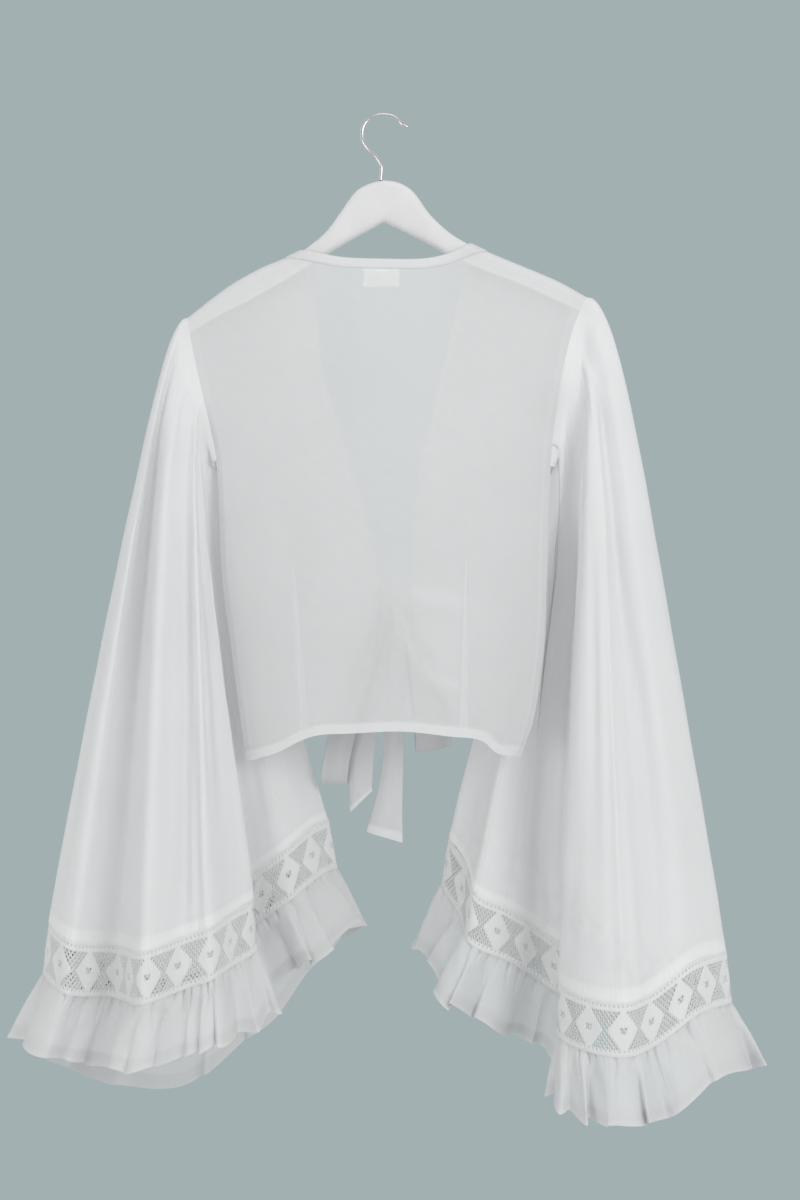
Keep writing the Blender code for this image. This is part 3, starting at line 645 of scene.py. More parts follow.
def back_backing_and_painted_light(net):
    """Where the back is backed: there its cover rises and its colour is painted whiter, as painted light
    from
    what lies behind it: over the hanger's arms, the label, hem, seam allowances and the bow's loops."""
    x, drop = net[..., 0], net[..., 1]
    out = np.abs(x)
    under = np.where(x < 0, *(np.interp(out, *dense(HANGER_UNDER[s]).T, right=0) for s in SIGN))
    tip = np.where(x < 0, *(HANGER_TIP[s] for s in SIGN))
    arm = 0.75 * ease((under + 1 - drop) / 4) * ease((tip - out) / 8)
    arm *= ease((drop - ridge_drop(x) + 1) / 4) * ease((out - 40) / 30)

    def block(left, right, high, low):
        inside = (x - left, right - x, drop - high, low - drop)
        return np.prod([ease(far / 1.5) for far in inside], axis=0)

    label = np.maximum(0.75 * block(-21, 16, 154, 176), block(-9, 5, 151, 161))
    hem = 0.85 * ease((drop - net[-1:, :, 1] + HEM_WIDE) / 1.2)
    seam = 0.18 * ease((out - side_out(x, drop) + ALLOWANCE) / 1.5) * ease((drop - 170) / 30)
    darts = np.zeros_like(x)
    for top_x, top_drop, low_x, low_drop in rows_of(DARTS):
        down = np.clip((drop - top_drop) / (low_drop - top_drop), 0, 1)
        inward = -np.sign(top_x) * (x - top_x - (low_x - top_x) * down)
        dart = ease(inward / 1.2 + 0.5) * ease((DART_WIDE * down**0.8 - inward) / 1.5 + 0.5) * ease(down * 9)
        darts = np.maximum(darts, 0.4 * dart)
    knot = 0.3 * bump(x - 50, 34) * bump(drop - 478 - 0.16 * x, 9)
    curve = smooth([[14, 500], [22, 528], [36, 554], [52, 569], [70, 574]], np.linspace(0, 4, 25))
    away = np.min(np.hypot(x[..., None] - curve[:, 0], drop[..., None] - curve[:, 1]), axis=-1)
    inside = ease((x - np.interp(drop, curve[:, 1], curve[:, 0])) / 5) * ease((600 - drop) / 30)
    inside *= ease((drop - 500) / 20) * ease((85 - x) / 25)
    loop = 0.3 * bump(away, 5.0) + 0.12 * inside
    return np.maximum.reduce([arm, label, hem, seam, darts, knot, loop])


def hem_of(net, face, rows, relief):
    """The turned-up hem behind a panel's lower edge: the panel's last stretch again, a little inside it."""
    above = net[-1:, :, 1] - net[..., 1]
    part = net[np.where(np.all(above < HEM_WIDE * 2.2, axis=1))[0][0] :]
    start = np.array([read_rows(line[-1, 1] - HEM_WIDE, line[:, 1], line) for line in part.swapaxes(0, 1)])
    share = np.linspace(0, 1, rows)[:, None, None]
    flat = start[None] * (1 - share) + part[-1][None] * share
    return on_cloth(flat, face, relief(flat) - 0.6)


def make_back(cloth, thread):
    """The back: the panel with its hang, darts and hem, and the seam allowances that show through it."""
    rows = fine_rows(200)
    _, _, seam = neck_lines(110)
    left, right = (shoulder_line(s, BINDING_END[s] + SEAM, np.linspace(0, 1, 46)) for s in SIGN)
    edge = np.concatenate([left[::-1], seam[1:-1], right])
    net = patch(edge, dense(BACK_HEM), side_line("left", rows), side_line("right", rows), rows)

    def relief(flat):
        return hang_relief(flat, 1.3, 0.55) + dart_relief(flat) + crumple(flat, 0.7)

    lift = relief(net)
    lift -= 0.35 * bump((net[-1:, :, 1] - net[..., 1]) - HEM_WIDE, 1.0)
    out = np.array([0.0, -1.0, 0.0])
    # The back's backed mask paints its colour whiter over the hanger's arms, label, hem, seams, darts, knot
    # and loops: painted light.
    sheets = [
        (on_cloth(net, -1, lift), False, out, (0.0, 0.0), back_backing_and_painted_light(net)),
        (hem_of(net, -1, 8, relief), False, out, (0.0, -0.5)),
    ]
    for side in SIGN:
        line = side_line(side, rows)
        inward = np.linspace(0.4, ALLOWANCE, 5)[:, None]
        flat = np.stack(np.broadcast_arrays(line[:, 0] - SIGN[side] * inward, line[:, 1]), axis=-1)
        sheets.append((on_cloth(flat, -1, relief(flat) - 0.9), False, out, (0.6, 0.0)))
    for top_x, top_drop, low_x, low_drop in rows_of(DARTS):
        down = np.linspace(0, 1, 50)[None, :]
        over = np.linspace(0, 1, 4)[:, None]
        x = top_x + (low_x - top_x) * down - np.sign(top_x) * over * DART_WIDE * down**0.8
        flat = np.stack(np.broadcast_arrays(x, top_drop + (low_drop - top_drop) * down), axis=-1)
        sheets.append((on_cloth(flat, -1, relief(flat) - 0.7), False, out, (0.8, 0.0)))
    piece = lay_sheets("back_cloth", sheets, cloth)
    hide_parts("back_panel")
    line = dense(BACK_HEM)[8:-8] - [0.0, HEM_WIDE - 1.0]
    sew("back_hem_stitches", [(on_cloth(line, -1, relief(line) + STITCH_UP), facing(line, -1))], thread)


def make_front(side, cloth, thread):
    """A front: the panel with soft folds that gather towards the knot, and its hem."""
    rows = fine_rows(190)
    line = front_edge(side, BINDING_WIDE, SEAM)
    seam = along(line, rows)
    side_edge = side_line(side, rows)
    hem = np.stack([side_edge[-1], seam[-1]])
    shoulder = shoulder_line(side, BINDING_END[side] + SEAM, (1 - np.linspace(0, 1, 110)) ** 1.15)
    net = patch(shoulder, hem, side_edge, seam, rows)

    def relief(flat):
        x, drop = flat[..., 0] - KNOT_CENTRE[0], flat[..., 1] + KNOT_CENTRE[2]
        away = np.hypot(x, drop)
        angle = np.arctan2(drop, np.abs(x))
        pulled = 2.6 * np.sin(angle * 11 + SIGN[side]) * ease((away - 24) / 40) * np.exp(-away / 130)
        pulled *= 1 - to_edge(flat[..., 0], flat[..., 1]) ** 6
        return hang_relief(flat, 2.9 + SIGN[side], 0.6) + pulled + crumple(flat, 1.9 + SIGN[side])

    out = np.array([0.0, 1.0, 0.0])
    # The hem's backed band paints the front's colour whiter: painted light.
    backed = ease((net[..., 1] - net[-1:, :, 1] + HEM_WIDE) / 1.2)
    sheets = [
        (on_cloth(net, 1, relief(net)), False, out, (0.0, 0.0), backed),
        (hem_of(net, 1, 6, relief), False, out, (0.0, -0.5)),
    ]
    piece = lay_sheets("front_cloth_" + side, sheets, cloth)
    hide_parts("front_" + side)
    line = hem[0] + (hem[1] - hem[0]) * np.linspace(0.04, 0.9, 60)[:, None] - [0.0, HEM_WIDE - 1.0]
    stitched = on_cloth(line, 1, relief(line) + STITCH_UP)
    sew("front_hem_stitches_" + side, [(stitched, facing(line, 1))], thread)


def binding_profile(edge, low, face):
    """A folded tape: it runs up the outside from its lower edge, round the fold at the neckline, and down
    the inside. Its outer face is slightly crowned."""
    share = np.linspace(0, 1, 9)[:, None, None]
    flat = low[None] * (1 - share) + edge[None] * share
    base, normal = on_panel(flat, face), facing(flat, face)
    crown = 0.75 * (1 - (2 * share - 1) ** 6) ** 0.5 + 0.1
    return np.concatenate([base + normal * crown, (base - normal * crown)[::-1]])


def make_neck_tapes(cloth, thread):
    """The bindings of the back neck and of the fronts' edges."""
    top, low, _ = neck_lines(120)
    tapes = {"back": (binding_profile(top, low, -1), np.array([0.0, -1.0, 0.0]))}
    edges = [(top, low, -1)]
    for side in SIGN:
        edge, below = front_edge(side), front_edge(side, BINDING_WIDE)
        keep = SPAN * KNOT_ROW - 2
        edge, below = edge[:keep], below[:keep]
        tapes[side] = (binding_profile(edge, below, 1), np.array([0.0, 1.0, 0.0]))
        edges.append((edge, below, 1))
    for name, (grid, out) in tapes.items():
        half = len(grid) // 2
        facing_out = np.repeat([out, -out], half, axis=0)[:, None]
        piece = lay_sheets("neck_tape_" + name, [(grid, False, facing_out, (0.0, 0.0))], cloth)
        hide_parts("neck_binding_" + name)
    lines = []
    for edge, below, face in edges:
        flat = (below * 0.84 + edge * 0.16)[2:-2]
        lines.append((on_panel(flat, face) + facing(flat, face) * 0.92, facing(flat, face)))
    sew("neck_stitches", lines, thread)


# Sleeves

def armhole(side, count=240):
    """The armhole's edge on the back, from its top down to the underarm, and on the fronts from there up.
    Each row is a point and the panel's normal there."""
    rows = side_line(side, np.linspace(0, 1, count))
    underarm = np.interp(SIDE[side]["drop"][UNDERARM_ROW], rows[:, 1], np.arange(len(rows)))
    places = np.append(np.arange(int(underarm) + 1), underarm)
    edges = []
    for face in (-1, 1):
        edge = np.concatenate([on_panel(rows, face), facing(rows, face)], axis=1)
        edges.append(read_rows(places, np.arange(len(rows)), edge))
    return edges[0], edges[1][::-1]


def sleeve_net(side, per_fold, rows):
    """The sleeve's grid from armhole to hem, and the way its lines run at the hem. A line goes straight
    from its place on the armhole to its place on the hem, and bows by two sines that peak early."""
    folds = rows_of(FOLDS[side])
    count = len(folds) * per_fold
    ring = smooth(folds, np.arange(count) / per_fold, closed=True)
    hem = np.stack([SIGN[side] * ring[:, 0], ring[:, 1], -ring[:, 2]], axis=-1)
    length = np.concatenate([[0.0], np.cumsum(np.linalg.norm(np.diff(hem, axis=0), axis=1))])
    under = UNDERARM_FOLD * per_fold
    home = length[-1] + np.linalg.norm(hem[-1] - hem[0])
    share_back = length[: under + 1] / length[under]
    share_front = (length[under + 1 :] - length[under]) / (home - length[under])
    back, front = armhole(side)
    start = np.concatenate([along(back, share_back), along(front, share_front)])[:, :3]
    low = seam_shut(start[:, 0], -start[:, 2])
    start[:, 0] += SIGN[side] * (1.5 * SEAM + UNDERARM_CLEAR * low)
    start[:, 1] += np.sign(start[:, 1]) * UNDERARM_CLEAR * low
    t = rows[:, None]
    net = start * (1 - t[..., None]) + hem * t[..., None]
    net[..., 0] += SIGN[side] * ring[:, 3] * np.sin(np.pi * t**BOW_OUT_SHARE)
    net[..., 1] += ring[:, 4] * np.sin(np.pi * t**BOW_FORE_SHARE)
    fold = np.arange(count) / per_fold
    net[..., 1] += VALLEY[side] * bump(fold - VALLEY_FOLD, 1.0) * ease((t - 0.1) / 0.3) * ease((1 - t) / 0.3)
    near = bump(fold - UNDERARM_FOLD, 1.0) * ease(t / 0.032) * ease((0.5 - t) / 0.3)
    net[..., 0] -= SIGN[side] * TUCK_OUT * near
    net[..., 1] += TUCK_FORE * near
    steep = net[-1] - (start * (1 - STEEP_AT) + hem * STEEP_AT)
    steep[:, 0] -= SIGN[side] * ring[:, 3] * np.sin(np.pi * STEEP_AT**BOW_OUT_SHARE)
    steep[:, 1] -= ring[:, 4] * np.sin(np.pi * STEEP_AT**BOW_FORE_SHARE)
    run = unit(0.6 * unit(steep) + [0.0, 0.0, -0.4])
    return net, run


def sleeve_start(side, per_fold):
    """The armhole's own edge at the sleeve's lines, where the two are sewn."""
    net, _ = sleeve_net(side, per_fold, np.zeros(1))
    back, front = (edge[:, :3] for edge in armhole(side))
    edge = np.concatenate([back, front[1:]])
    place = np.arange(len(edge))
    fine = read_rows(np.linspace(0, len(edge) - 1, 2400), place, edge)
    away = np.linalg.norm(net[0][:, None] - fine[None], axis=-1)
    return fine[np.argmin(away, axis=1)]


def ring_turn(count):
    """The angle round a sleeve of each of its lines, as the waves count it."""
    return 2 * np.pi * np.arange(count) / count


def sleeve_relief(side, t, turn):
    """Folds broader and softer than the sleeve's main ones: a few that drift round it as they fall and grow
    downwards, faint tucks at the cap, and puckers above the lace."""
    s = SIGN[side]
    drift = 0.3 * np.sin(2.3 * t + s) + 0.1 * np.sin(5.1 * t + turn)
    broad = (
        1.5 * np.sin(9 * (turn + 0.5 * drift) + 1.2 * np.sin(2 * turn + s))
        + 1.1 * np.sin(14 * (turn - 0.3 * drift) + 1.5 * np.sin(3 * turn) - s)
        + 0.75 * np.sin(23 * (turn + 0.3 * drift) + 1.5 * np.sin(4 * turn + s))
        + 0.28 * np.sin(41 * (turn - 0.2 * drift) + 3 * np.sin(2 * turn) + 2 * s)
    )
    patchy = 0.55 + 0.45 * np.sin(4 * turn + 3 * t + s)
    grown = ease((t - 0.12) / 0.6) * patchy
    tucks = 0.4 * np.sin(17 * turn + 2 * np.sin(5 * turn)) * bump(t - 0.06, 0.05) * ease(t / 0.03)
    pucker = 0.3 * np.sin(118 * turn + 2 * np.sin(9 * turn))
    pucker = pucker * np.exp(-(1 - t) / 0.02) * ease((1 - t) / 0.006)
    creases = 0.25 * np.sin(7 * turn + 23 * t + s) * np.sin(11 * turn - 17 * t) * ease(t / 0.2)
    return grown * broad * (1 - 0.5 * ease((t - 0.9) / 0.1)) + tucks + pucker + creases


def crease_relief(side, net, normals):
    """The sleeve's main creases, as listed: each is a soft ridge or trough that follows a curve down
    the back and dies out at both ends. The front has the same ones a little further in, turned the other
    way and half as high."""
    out, drop = SIGN[side] * net[..., 0], -net[..., 2]
    total = np.zeros_like(out)
    behind, before = (ease((sign * normals[..., 1] - 0.05) / 0.4) for sign in (-1, 1))
    for top_out, top, mid_out, mid, low_out, low, wide, high in rows_of(CREASES[side]):
        share = np.clip((drop - top) / (low - top), 0, 1)
        bend = mid_out - (top_out + (low_out - top_out) * (mid - top) / (low - top))
        line = top_out + (low_out - top_out) * share + bend * 4 * share * (1 - share)
        fade = ease((drop - top + 40) / 110) * ease((low + 25 - drop) / 70)
        total += high * fade * behind * bump(out - line, wide)
        total -= 0.5 * high * fade * before * bump(out - line - 14, wide * 1.2)
    return total


def outward_of(net):
    """The sleeve's normals, turned away from its inside."""
    normals = normals_of(net, closed=True)
    middle = net.mean(axis=1, keepdims=True)
    if np.sum(normals * (net - middle)) < 0:
        normals = -normals
    return normals


def make_sleeve(side, cloth):
    """A bell sleeve, with the seam allowance at its armhole and the turned edge over the lace."""
    rows = np.concatenate([[0, 0.002, 0.005, 0.009, 0.014, 0.02, 0.028], np.linspace(0.038, 1, 122)])
    net, _ = sleeve_net(side, SLEEVE_LINES, rows)
    normals = outward_of(net)
    turn = ring_turn(net.shape[1])
    lift = sleeve_relief(side, rows[:, None], turn) + crease_relief(side, net, normals)
    under = UNDERARM_FOLD * SLEEVE_LINES
    beside = np.arange(net.shape[1]) - under
    share = rows[:, None]
    sleeve = net + normals * (lift - 0.5 * bump(beside, 0.9) * ease(share / 0.04))[..., None]
    sleeve[0] = sleeve_start(side, SLEEVE_LINES)
    allowance = ease((0.022 - share) / 0.012) * (1 - bump(beside / SLEEVE_LINES, 2.0))
    # The backed share paints the sleeve whiter at the turned edge over the lace and at the armhole's
    # allowance: painted light.
    backed = np.maximum(0.7 * ease((share - 0.982) / 0.003), 0.2 * allowance)
    strip = slice(under - 4, under + 1)
    turned = np.linspace(0, 1, 5)[:, None, None]
    last = np.interp(1 - 0.017, rows, np.arange(len(rows)))
    upper = sleeve[int(last)] * (1 - last % 1) + sleeve[int(last) + 1] * (last % 1)
    fold = upper * (1 - turned) + sleeve[-1] * turned - normals[-1] * 0.7
    sheets = [
        (sleeve, True, normals, (0.0, 0.0), backed),
        (sleeve[3:, strip] - 0.8 * normals[3:, strip], False, normals[3:, strip], (1.1, 0.0)),
        (fold, True, normals[-5:], (0.0, -0.7)),
    ]
    piece = lay_sheets("sleeve_cloth_" + side, sheets, cloth)
    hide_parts("sleeve_" + side)


# Lace

def lace_open(column, row, repeat, rows):
    """Whether a cell of the lace is a hole. In each repeat two triangles of net meet tip to tip, a solid
    diamond with a few holes in its middle stands between them, and a row of pinholes runs along both
    headings."""
    place = column % repeat
    out = np.minimum(place, repeat - place)
    net_rows = rows - 5
    height = row - 3
    high = np.abs(height - (net_rows - 1) / 2)
    in_net = (height >= 0) & (height < net_rows)
    triangle = in_net & (out <= high + 0.6)
    heart = in_net & (np.abs(place - repeat / 2) <= 1.1) & (high <= 1.1)
    pin = ((row == 1) | (row == rows - 2)) & (column % 2 == 0)
    return triangle | heart | pin


def make_lace(side, yarn, thread, settings):
    """A lace band: a net of cells between the sleeve's edge and the ruffle's. A cell is a ring of yarn
    round a small three-cornered hole that points up and down by turns, or a closed stitch that bulges."""
    net, run = sleeve_net(side, SLEEVE_LINES, LOW_ROWS)
    top = net[-1]
    normals = outward_of(np.concatenate([net, (top + run * LACE_TALL)[None]]))
    length = np.linalg.norm(np.roll(top, -1, axis=0) - top, axis=1)
    place = np.concatenate([[0.0], np.cumsum(length)])
    repeat = 2 * int(round(settings.repeat_mm / settings.hole_pitch_mm / 2))
    columns, rows = int(round(place[-1] / settings.repeat_mm)) * repeat, settings.rows
    around, tall, width = columns * 2, rows * 2, place[-1] * METRE
    at = np.arange(around) / around * place[-1]
    ring, way, square = (read_rows(at, place, np.concatenate([v, v[:1]])) for v in (top, run, normals[-1]))
    way, square = unit(way), unit(square)
    wave = 0.4 * np.sin(ring_turn(around) * 31)

    def surface(row, column, lift):
        """Points at these places of the net, read off in proportion between its columns, and lifted off
        it."""
        low = np.floor(column).astype(int)
        part = (column - low)[..., None]
        base, down, out, ripple = (
            v[low % around] * (1 - part) + v[(low + 1) % around] * part
            for v in (ring, way, square, wave[:, None])
        )
        lift = lift + ripple[..., 0] * np.sin(np.pi * row / tall)
        return base + down * (row / tall * LACE_TALL)[..., None] + out * lift[..., None]

    def flat_at(row, column):
        """The UV of these places: metres along the band, and down it."""
        return np.stack([column / around * width, -row / tall * LACE_TALL * METRE], axis=-1).reshape(-1, 2)

    node_row, node_column = np.indices((tall + 1, around))
    cell_row, cell_column = np.indices((rows, columns))
    on_row, on_column = node_row % 2 == 0, node_column % 2 == 0
    lattice = surface(node_row, node_column, 0.28 * (on_row | on_column) + 0.12 * (on_row & on_column))
    index = np.arange(node_row.size).reshape(node_row.shape)
    steps = [(0, 0), (0, 1), (0, 2), (1, 2), (2, 2), (2, 1), (2, 0), (1, 0)]
    rims = np.stack([index[2 * cell_row + a, (2 * cell_column + b) % around] for a, b in steps], axis=-1)
    is_open = lace_open(cell_column, cell_row, repeat, rows)
    heading = (cell_row < 2) | (cell_row >= rows - 2)

    row, column = np.nonzero(is_open)
    point_up = ((column + row) % 2 == 0)[:, None]
    small = np.where(heading[is_open], 0.55, 1.0)[:, None]
    corner_x = 0.96 * np.array([-1, 0, 1, 0.55, 0.3, 0, -0.3, -0.55])
    corner_y = 0.93 * np.array([-0.95, -0.95, -0.95, 0.1, 0.8, 0.95, 0.8, 0.1])
    at_column = 2 * column[:, None] + 1 + small * np.where(point_up, np.roll(corner_x[::-1], 4), corner_x)
    at_row = 2 * row[:, None] + 1 + small * np.where(point_up, np.roll(-corner_y[::-1], 4), corner_y)
    inner = surface(at_row, at_column, -0.5)
    inner_index = index.size + np.arange(at_row.size).reshape(at_row.shape)
    outer_index = rims[row, column]
    outer_next, inner_next = (np.roll(corners, -1, axis=1) for corners in (outer_index, inner_index))
    hole_faces = [outer_index, outer_next, inner_next, inner_index]

    shut_row, shut_column = (2 * places + 1 for places in np.nonzero(~is_open))
    centre = surface(shut_row, shut_column, np.where(heading[~is_open], 0.35, 0.5))
    centre_index = index.size + at_row.size + np.arange(len(centre))
    rim = rims[~is_open]
    middle = np.repeat(centre_index[:, None], 4, axis=1)
    shut_faces = [rim[:, ::2], rim[:, 1::2], middle, np.roll(rim, 1, axis=1)[:, ::2]]

    points = np.concatenate([lattice.reshape(-1, 3), inner.reshape(-1, 3), centre])
    uv = [flat_at(node_row, node_column), flat_at(at_row, at_column), flat_at(shut_row, shut_column)]
    uv = np.concatenate(uv)
    faces = np.concatenate([np.stack(f, axis=-1).reshape(-1, 4) for f in (hole_faces, shut_faces)])
    a, b, c = (points[faces[:, k]] for k in (0, 1, 2))
    toward = square[np.clip((uv[faces[:, 0], 0] / width * around).astype(int), 0, around - 1)]
    if np.sum(np.cross(b - a, c - a) * toward) < 0:
        faces = faces[:, ::-1]
    kept, renumbered = np.unique(faces, return_inverse=True)
    faces = renumbered.reshape(faces.shape)
    piece = add_mesh("lace_band_" + side, points[kept], [faces], uv[kept], yarn)
    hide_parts("lace_" + side)
    lines = [(ring + way * down + square * 0.55, square) for down in (1.6, LACE_TALL - 1.6)]
    sew("lace_stitches_" + side, lines, thread)


# Ruffles

def make_ruffle(side, cloth):
    """A gathered ruffle: it flares from the lace's lower edge in waves that grow from nothing, with small
    gathers under the seam and a narrow turned hem."""
    net, run = sleeve_net(side, RUFFLE_LINES, LOW_ROWS)
    base = net[-1] + run * LACE_TALL
    normals = outward_of(np.concatenate([net, base[None]]))[-1]
    count = len(base)
    turn = ring_turn(count)
    out = np.array([np.roll(normals, k, axis=0) for k in range(-14, 15)]).mean(axis=0)
    out = unit(out * [1.0, 1.0, 0.0])
    away = base - base.mean(axis=0)
    away[:, 2] = 0
    way = unit(run + RUFFLE_FLARE * unit(away))
    phase = FACETS * turn + 1.1 * np.sin(3 * turn + 1) + 0.9 * np.sin(7 * turn)
    phase += 0.6 * np.sin(11 * turn + SIGN[side])
    step = count // 64
    bend = np.linalg.norm(np.roll(out, -step, axis=0) - np.roll(out, step, axis=0), axis=1)
    bend = np.maximum.reduce([np.roll(bend, k * step) for k in (-1, 0, 1)])
    calm = 1 / np.sqrt(1 + (bend / (WAVE_CALM * 1.6)) ** 2)
    w = (np.linspace(0, 1, 30) ** 1.2)[:, None]
    uneven = 1 + 0.3 * np.sin(phase / 2 + 2 * np.sin(2 * turn)) + 0.2 * np.sin(13 * turn + 1)
    crest = np.sin(phase) + 0.25 * np.sin(phase / 2 + 1.3 + 2 * turn)
    facet = np.arcsin(np.clip(0.78 * crest, -0.98, 0.98)) / 1.37
    lean = np.tanh(3 * np.sin(2 * turn + 0.6 * SIGN[side]) + 2.2 * np.sin(5 * turn + 2))
    crisp = ease(w / 0.55)
    deep = w**0.7 * 1.5 * WAVE_DEEP * calm**0.5 * uneven
    lift = deep * (np.sin(phase) * (1 - crisp) + facet * crisp)
    sway = 1.6 * lean * lift * ease((w - 0.08) / 0.4)
    tuck = 57 * turn + 2.2 * np.sin(8 * turn) + 1.4 * np.sin(13 * turn)
    groove = (0.5 + 0.5 * np.sin(tuck)) ** 7
    reach = 0.21 + 0.14 * np.sin(11 * turn + 2 * np.sin(5 * turn))
    gathered = 4.2 * groove * np.exp(-((w / reach) ** 1.5)) * ease(w / 0.03)
    lift -= gathered * (0.65 + 0.35 * np.sin(17 * turn))
    lift += 0.3 * np.sin(2 * phase + 9 * w) * ease(w / 0.3)
    tangent = unit(np.roll(base, -1, axis=0) - np.roll(base, 1, axis=0))
    far = bump((turn - 14.2 * 2 * np.pi / 16), 0.55) * (12.0 if side == "left" else 4.0)
    drop = (RUFFLE_TALL + far) * w * (1 + 0.03 * np.sin(9 * turn) + 0.03 * np.sin(phase / 2 + 1))
    drop = drop - 3.2 * lean * facet * w**1.5
    grid = base + drop[..., None] * way + lift[..., None] * out + sway[..., None] * tangent
    normal = outward_of(grid)
    hem = grid[-6:] - normal[-6:] * 0.5
    heading = base + np.linspace(-3.0, 4.0, 6)[:, None, None] * run - out * 1.4
    heading = heading - (0.8 * groove)[None, :, None] * out
    # The hem's backed band paints the ruffle's colour whiter: painted light.
    sheets = [
        (grid, True, normal, (0.0, 0.0), 0.2 * ease((w - 0.93) / 0.02)),
        (hem, True, normal[-6:], (0.0, -0.3)),
        (heading, True, normal[:6], (0.0, 0.4)),
    ]
    piece = lay_sheets("ruffle_cloth_" + side, sheets, cloth)
    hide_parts("ruffle_" + side)


# Ties, hanger and labels

def strip_tube(name, rows_fine=70, round_points=22):
    """A tie: a flat doubled strip, as rings across its line. Each ring is a flattened loop with a hollow
    and two soft folds along it, and the ends are shut by drawing the ring to a line."""
    rows = rows_of(STRIPS[name])
    fine = smooth(rows, np.linspace(0, len(rows) - 1, rows_fine))
    middle = np.stack([fine[:, 0], fine[:, 1], -fine[:, 2]], axis=-1)
    way = unit(np.gradient(middle, axis=0))
    across = unit(np.array([1.0, 0.0, 0.0]) - way * way[:, :1])
    up = np.cross(way, across)
    angle = np.radians(fine[:, 4:5])
    across = across * np.cos(angle) + up * np.sin(angle)
    face = np.cross(way, across)
    wide, hollow, slant = fine[:, 3], fine[:, 5], fine[:, 6]
    turn = np.linspace(0, 2 * np.pi, round_points, endpoint=False)
    u = np.cos(turn)[None, :]
    thick = (0.55 * np.abs(np.sin(turn)) ** 0.5 * np.sign(np.sin(turn)))[None, :]
    length = shares_of(middle)[:, None]
    ends = ease(length / 0.02) * ease((1 - length) / 0.015)
    if "tail" in name:
        ends = ends * (1 + 0.9 * ease((length - 0.945) / 0.006))
    folds = 0.9 * np.sin(u * 4.2 + 3 * length) * (wide[:, None] / 26) + 0.5 * np.sin(u * 9 + 7 * length + 1)
    bow = hollow[:, None] * (1 - u**2) + folds * 0.7
    return (
        middle[:, None]
        + across[:, None] * (u * wide[:, None] / 2)[..., None]
        + face[:, None] * (bow + thick * (0.15 + 0.85 * ends))[..., None]
        - way[:, None] * (u * slant[:, None] / 2)[..., None]
    )


def start_on_knot(name):
    """The ties start where their solids do, at the knot's underside."""
    rows = rows_of(STRIPS[name])
    for end, following in ((0, 1), (-1, -2)) if "loop" in name else ((0, 1),):
        slope = (rows[end, 0] - rows[following, 0]) / np.linalg.norm(rows[end, :3] - rows[following, :3])
        corners = np.linspace(-0.5, 0.5, 5) * rows[end, 3]
        across = (rows[end, 0] + corners - KNOT_CENTRE[0]) / KNOT_HALF[0]
        through = (abs(rows[end, 1] - KNOT_CENTRE[1]) - CLOTH_WALL / 2) / KNOT_HALF[1]
        under = -KNOT_CENTRE[2] + KNOT_HALF[2] * np.sqrt(1 - across**2 - through**2)
        STRIPS[name]["drop"][end] = np.max(under - corners * slope) - 1.5


def make_ties(cloth):
    """The bow: two loops, two tails and the knot, whose cloth is pulled round it in folds."""
    knot = knot_surface(cloth)
    for name in STRIPS:
        start_on_knot(name)
        grid = strip_tube(name)
        outward = grid - grid.mean(axis=1, keepdims=True)
        # The tails' backed hem paints their colour whiter: painted light.
        hem = ease((np.arange(len(grid)) / len(grid) - 0.93) / 0.02)[:, None] * ("tail" in name)
        piece = lay_sheets(name + "_cloth", [(grid, True, outward, (0.0, 0.0), hem)], cloth)
        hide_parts(name)


def knot_surface(cloth):
    """The knot: an oval whose surface has grooves that run round it, bunched at one side and open at the
    other."""
    lat = np.linspace(-np.pi / 2, np.pi / 2, 60)[:, None]
    lon = np.linspace(0, 2 * np.pi, 90, endpoint=False)[None]
    x, y, z = np.cos(lat) * np.cos(lon), np.cos(lat) * np.sin(lon), np.sin(lat) * np.ones_like(lon)
    bunch = z * 5.5 + 1.2 * x * z + 0.6 * np.sin(3 * lon)
    folds = 0.075 * (0.5 + 0.5 * np.sin(bunch * 2.2)) + 0.03 * np.sin(bunch * 5 + 2 * x)
    groove = 1 - np.cos(lat) * folds
    grid = np.stack([x * groove, y * groove, z], axis=-1) * KNOT_HALF + KNOT_CENTRE
    grid[0], grid[-1] = grid[0].mean(axis=0), grid[-1].mean(axis=0)
    piece = lay_sheets("knot_cloth", [(grid, True, grid - KNOT_CENTRE, (0.0, 0.0))], cloth)
    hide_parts("tie_knot")
    return piece


def make_hanger(paint):
    """The hanger's wood: rounded sections from end to end, as the solid's, with rounder corners and a
    slight swell."""
    sections = []
    for side, sign in SIGN.items():
        tip = HANGER_TIP[side]
        rounded = tip - HANGER_END * (1 - np.linspace(0.05, 1, 16) ** 0.6)
        out = np.concatenate([np.linspace(1.5, tip - HANGER_END, 90), rounded])
        top = ridge_drop(sign * out) + REST
        low = np.interp(out, *dense(HANGER_UNDER[side]).T)
        left_over = np.clip((out - out[-1] + HANGER_END) / HANGER_END, 0, 0.985)
        size = np.sqrt(1 - left_over**2)
        half_tall, half_thick = (low - top) / 2 * size, HANGER_THICK / 2 * size
        sections.append(np.stack([sign * out, (top + low) / 2, half_tall, half_thick], axis=-1))
    sections = np.concatenate([sections[0][::-1], sections[1]])
    middle_x, middle_drop, half_tall, half_thick = sections.T[..., None]
    around, square = 36, 0.72
    turn = np.linspace(0, 2 * np.pi, around, endpoint=False)[None]
    across, up = (np.sign(v) * np.abs(v) ** square for v in (np.cos(turn), np.sin(turn)))
    x = np.repeat(middle_x, around, axis=1)
    grid = np.stack([x, across * half_thick, -middle_drop + up * half_tall], axis=-1)
    ends = [np.repeat(grid[[end]].mean(axis=1, keepdims=True), around, axis=1) for end in (0, -1)]
    grid = np.concatenate([ends[0], grid, ends[1]])
    outward = grid - grid.mean(axis=1, keepdims=True)
    piece = lay_sheets("wooden_hanger", [(grid, True, outward, (0.0, 0.0))], paint)
    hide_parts("hanger_body")


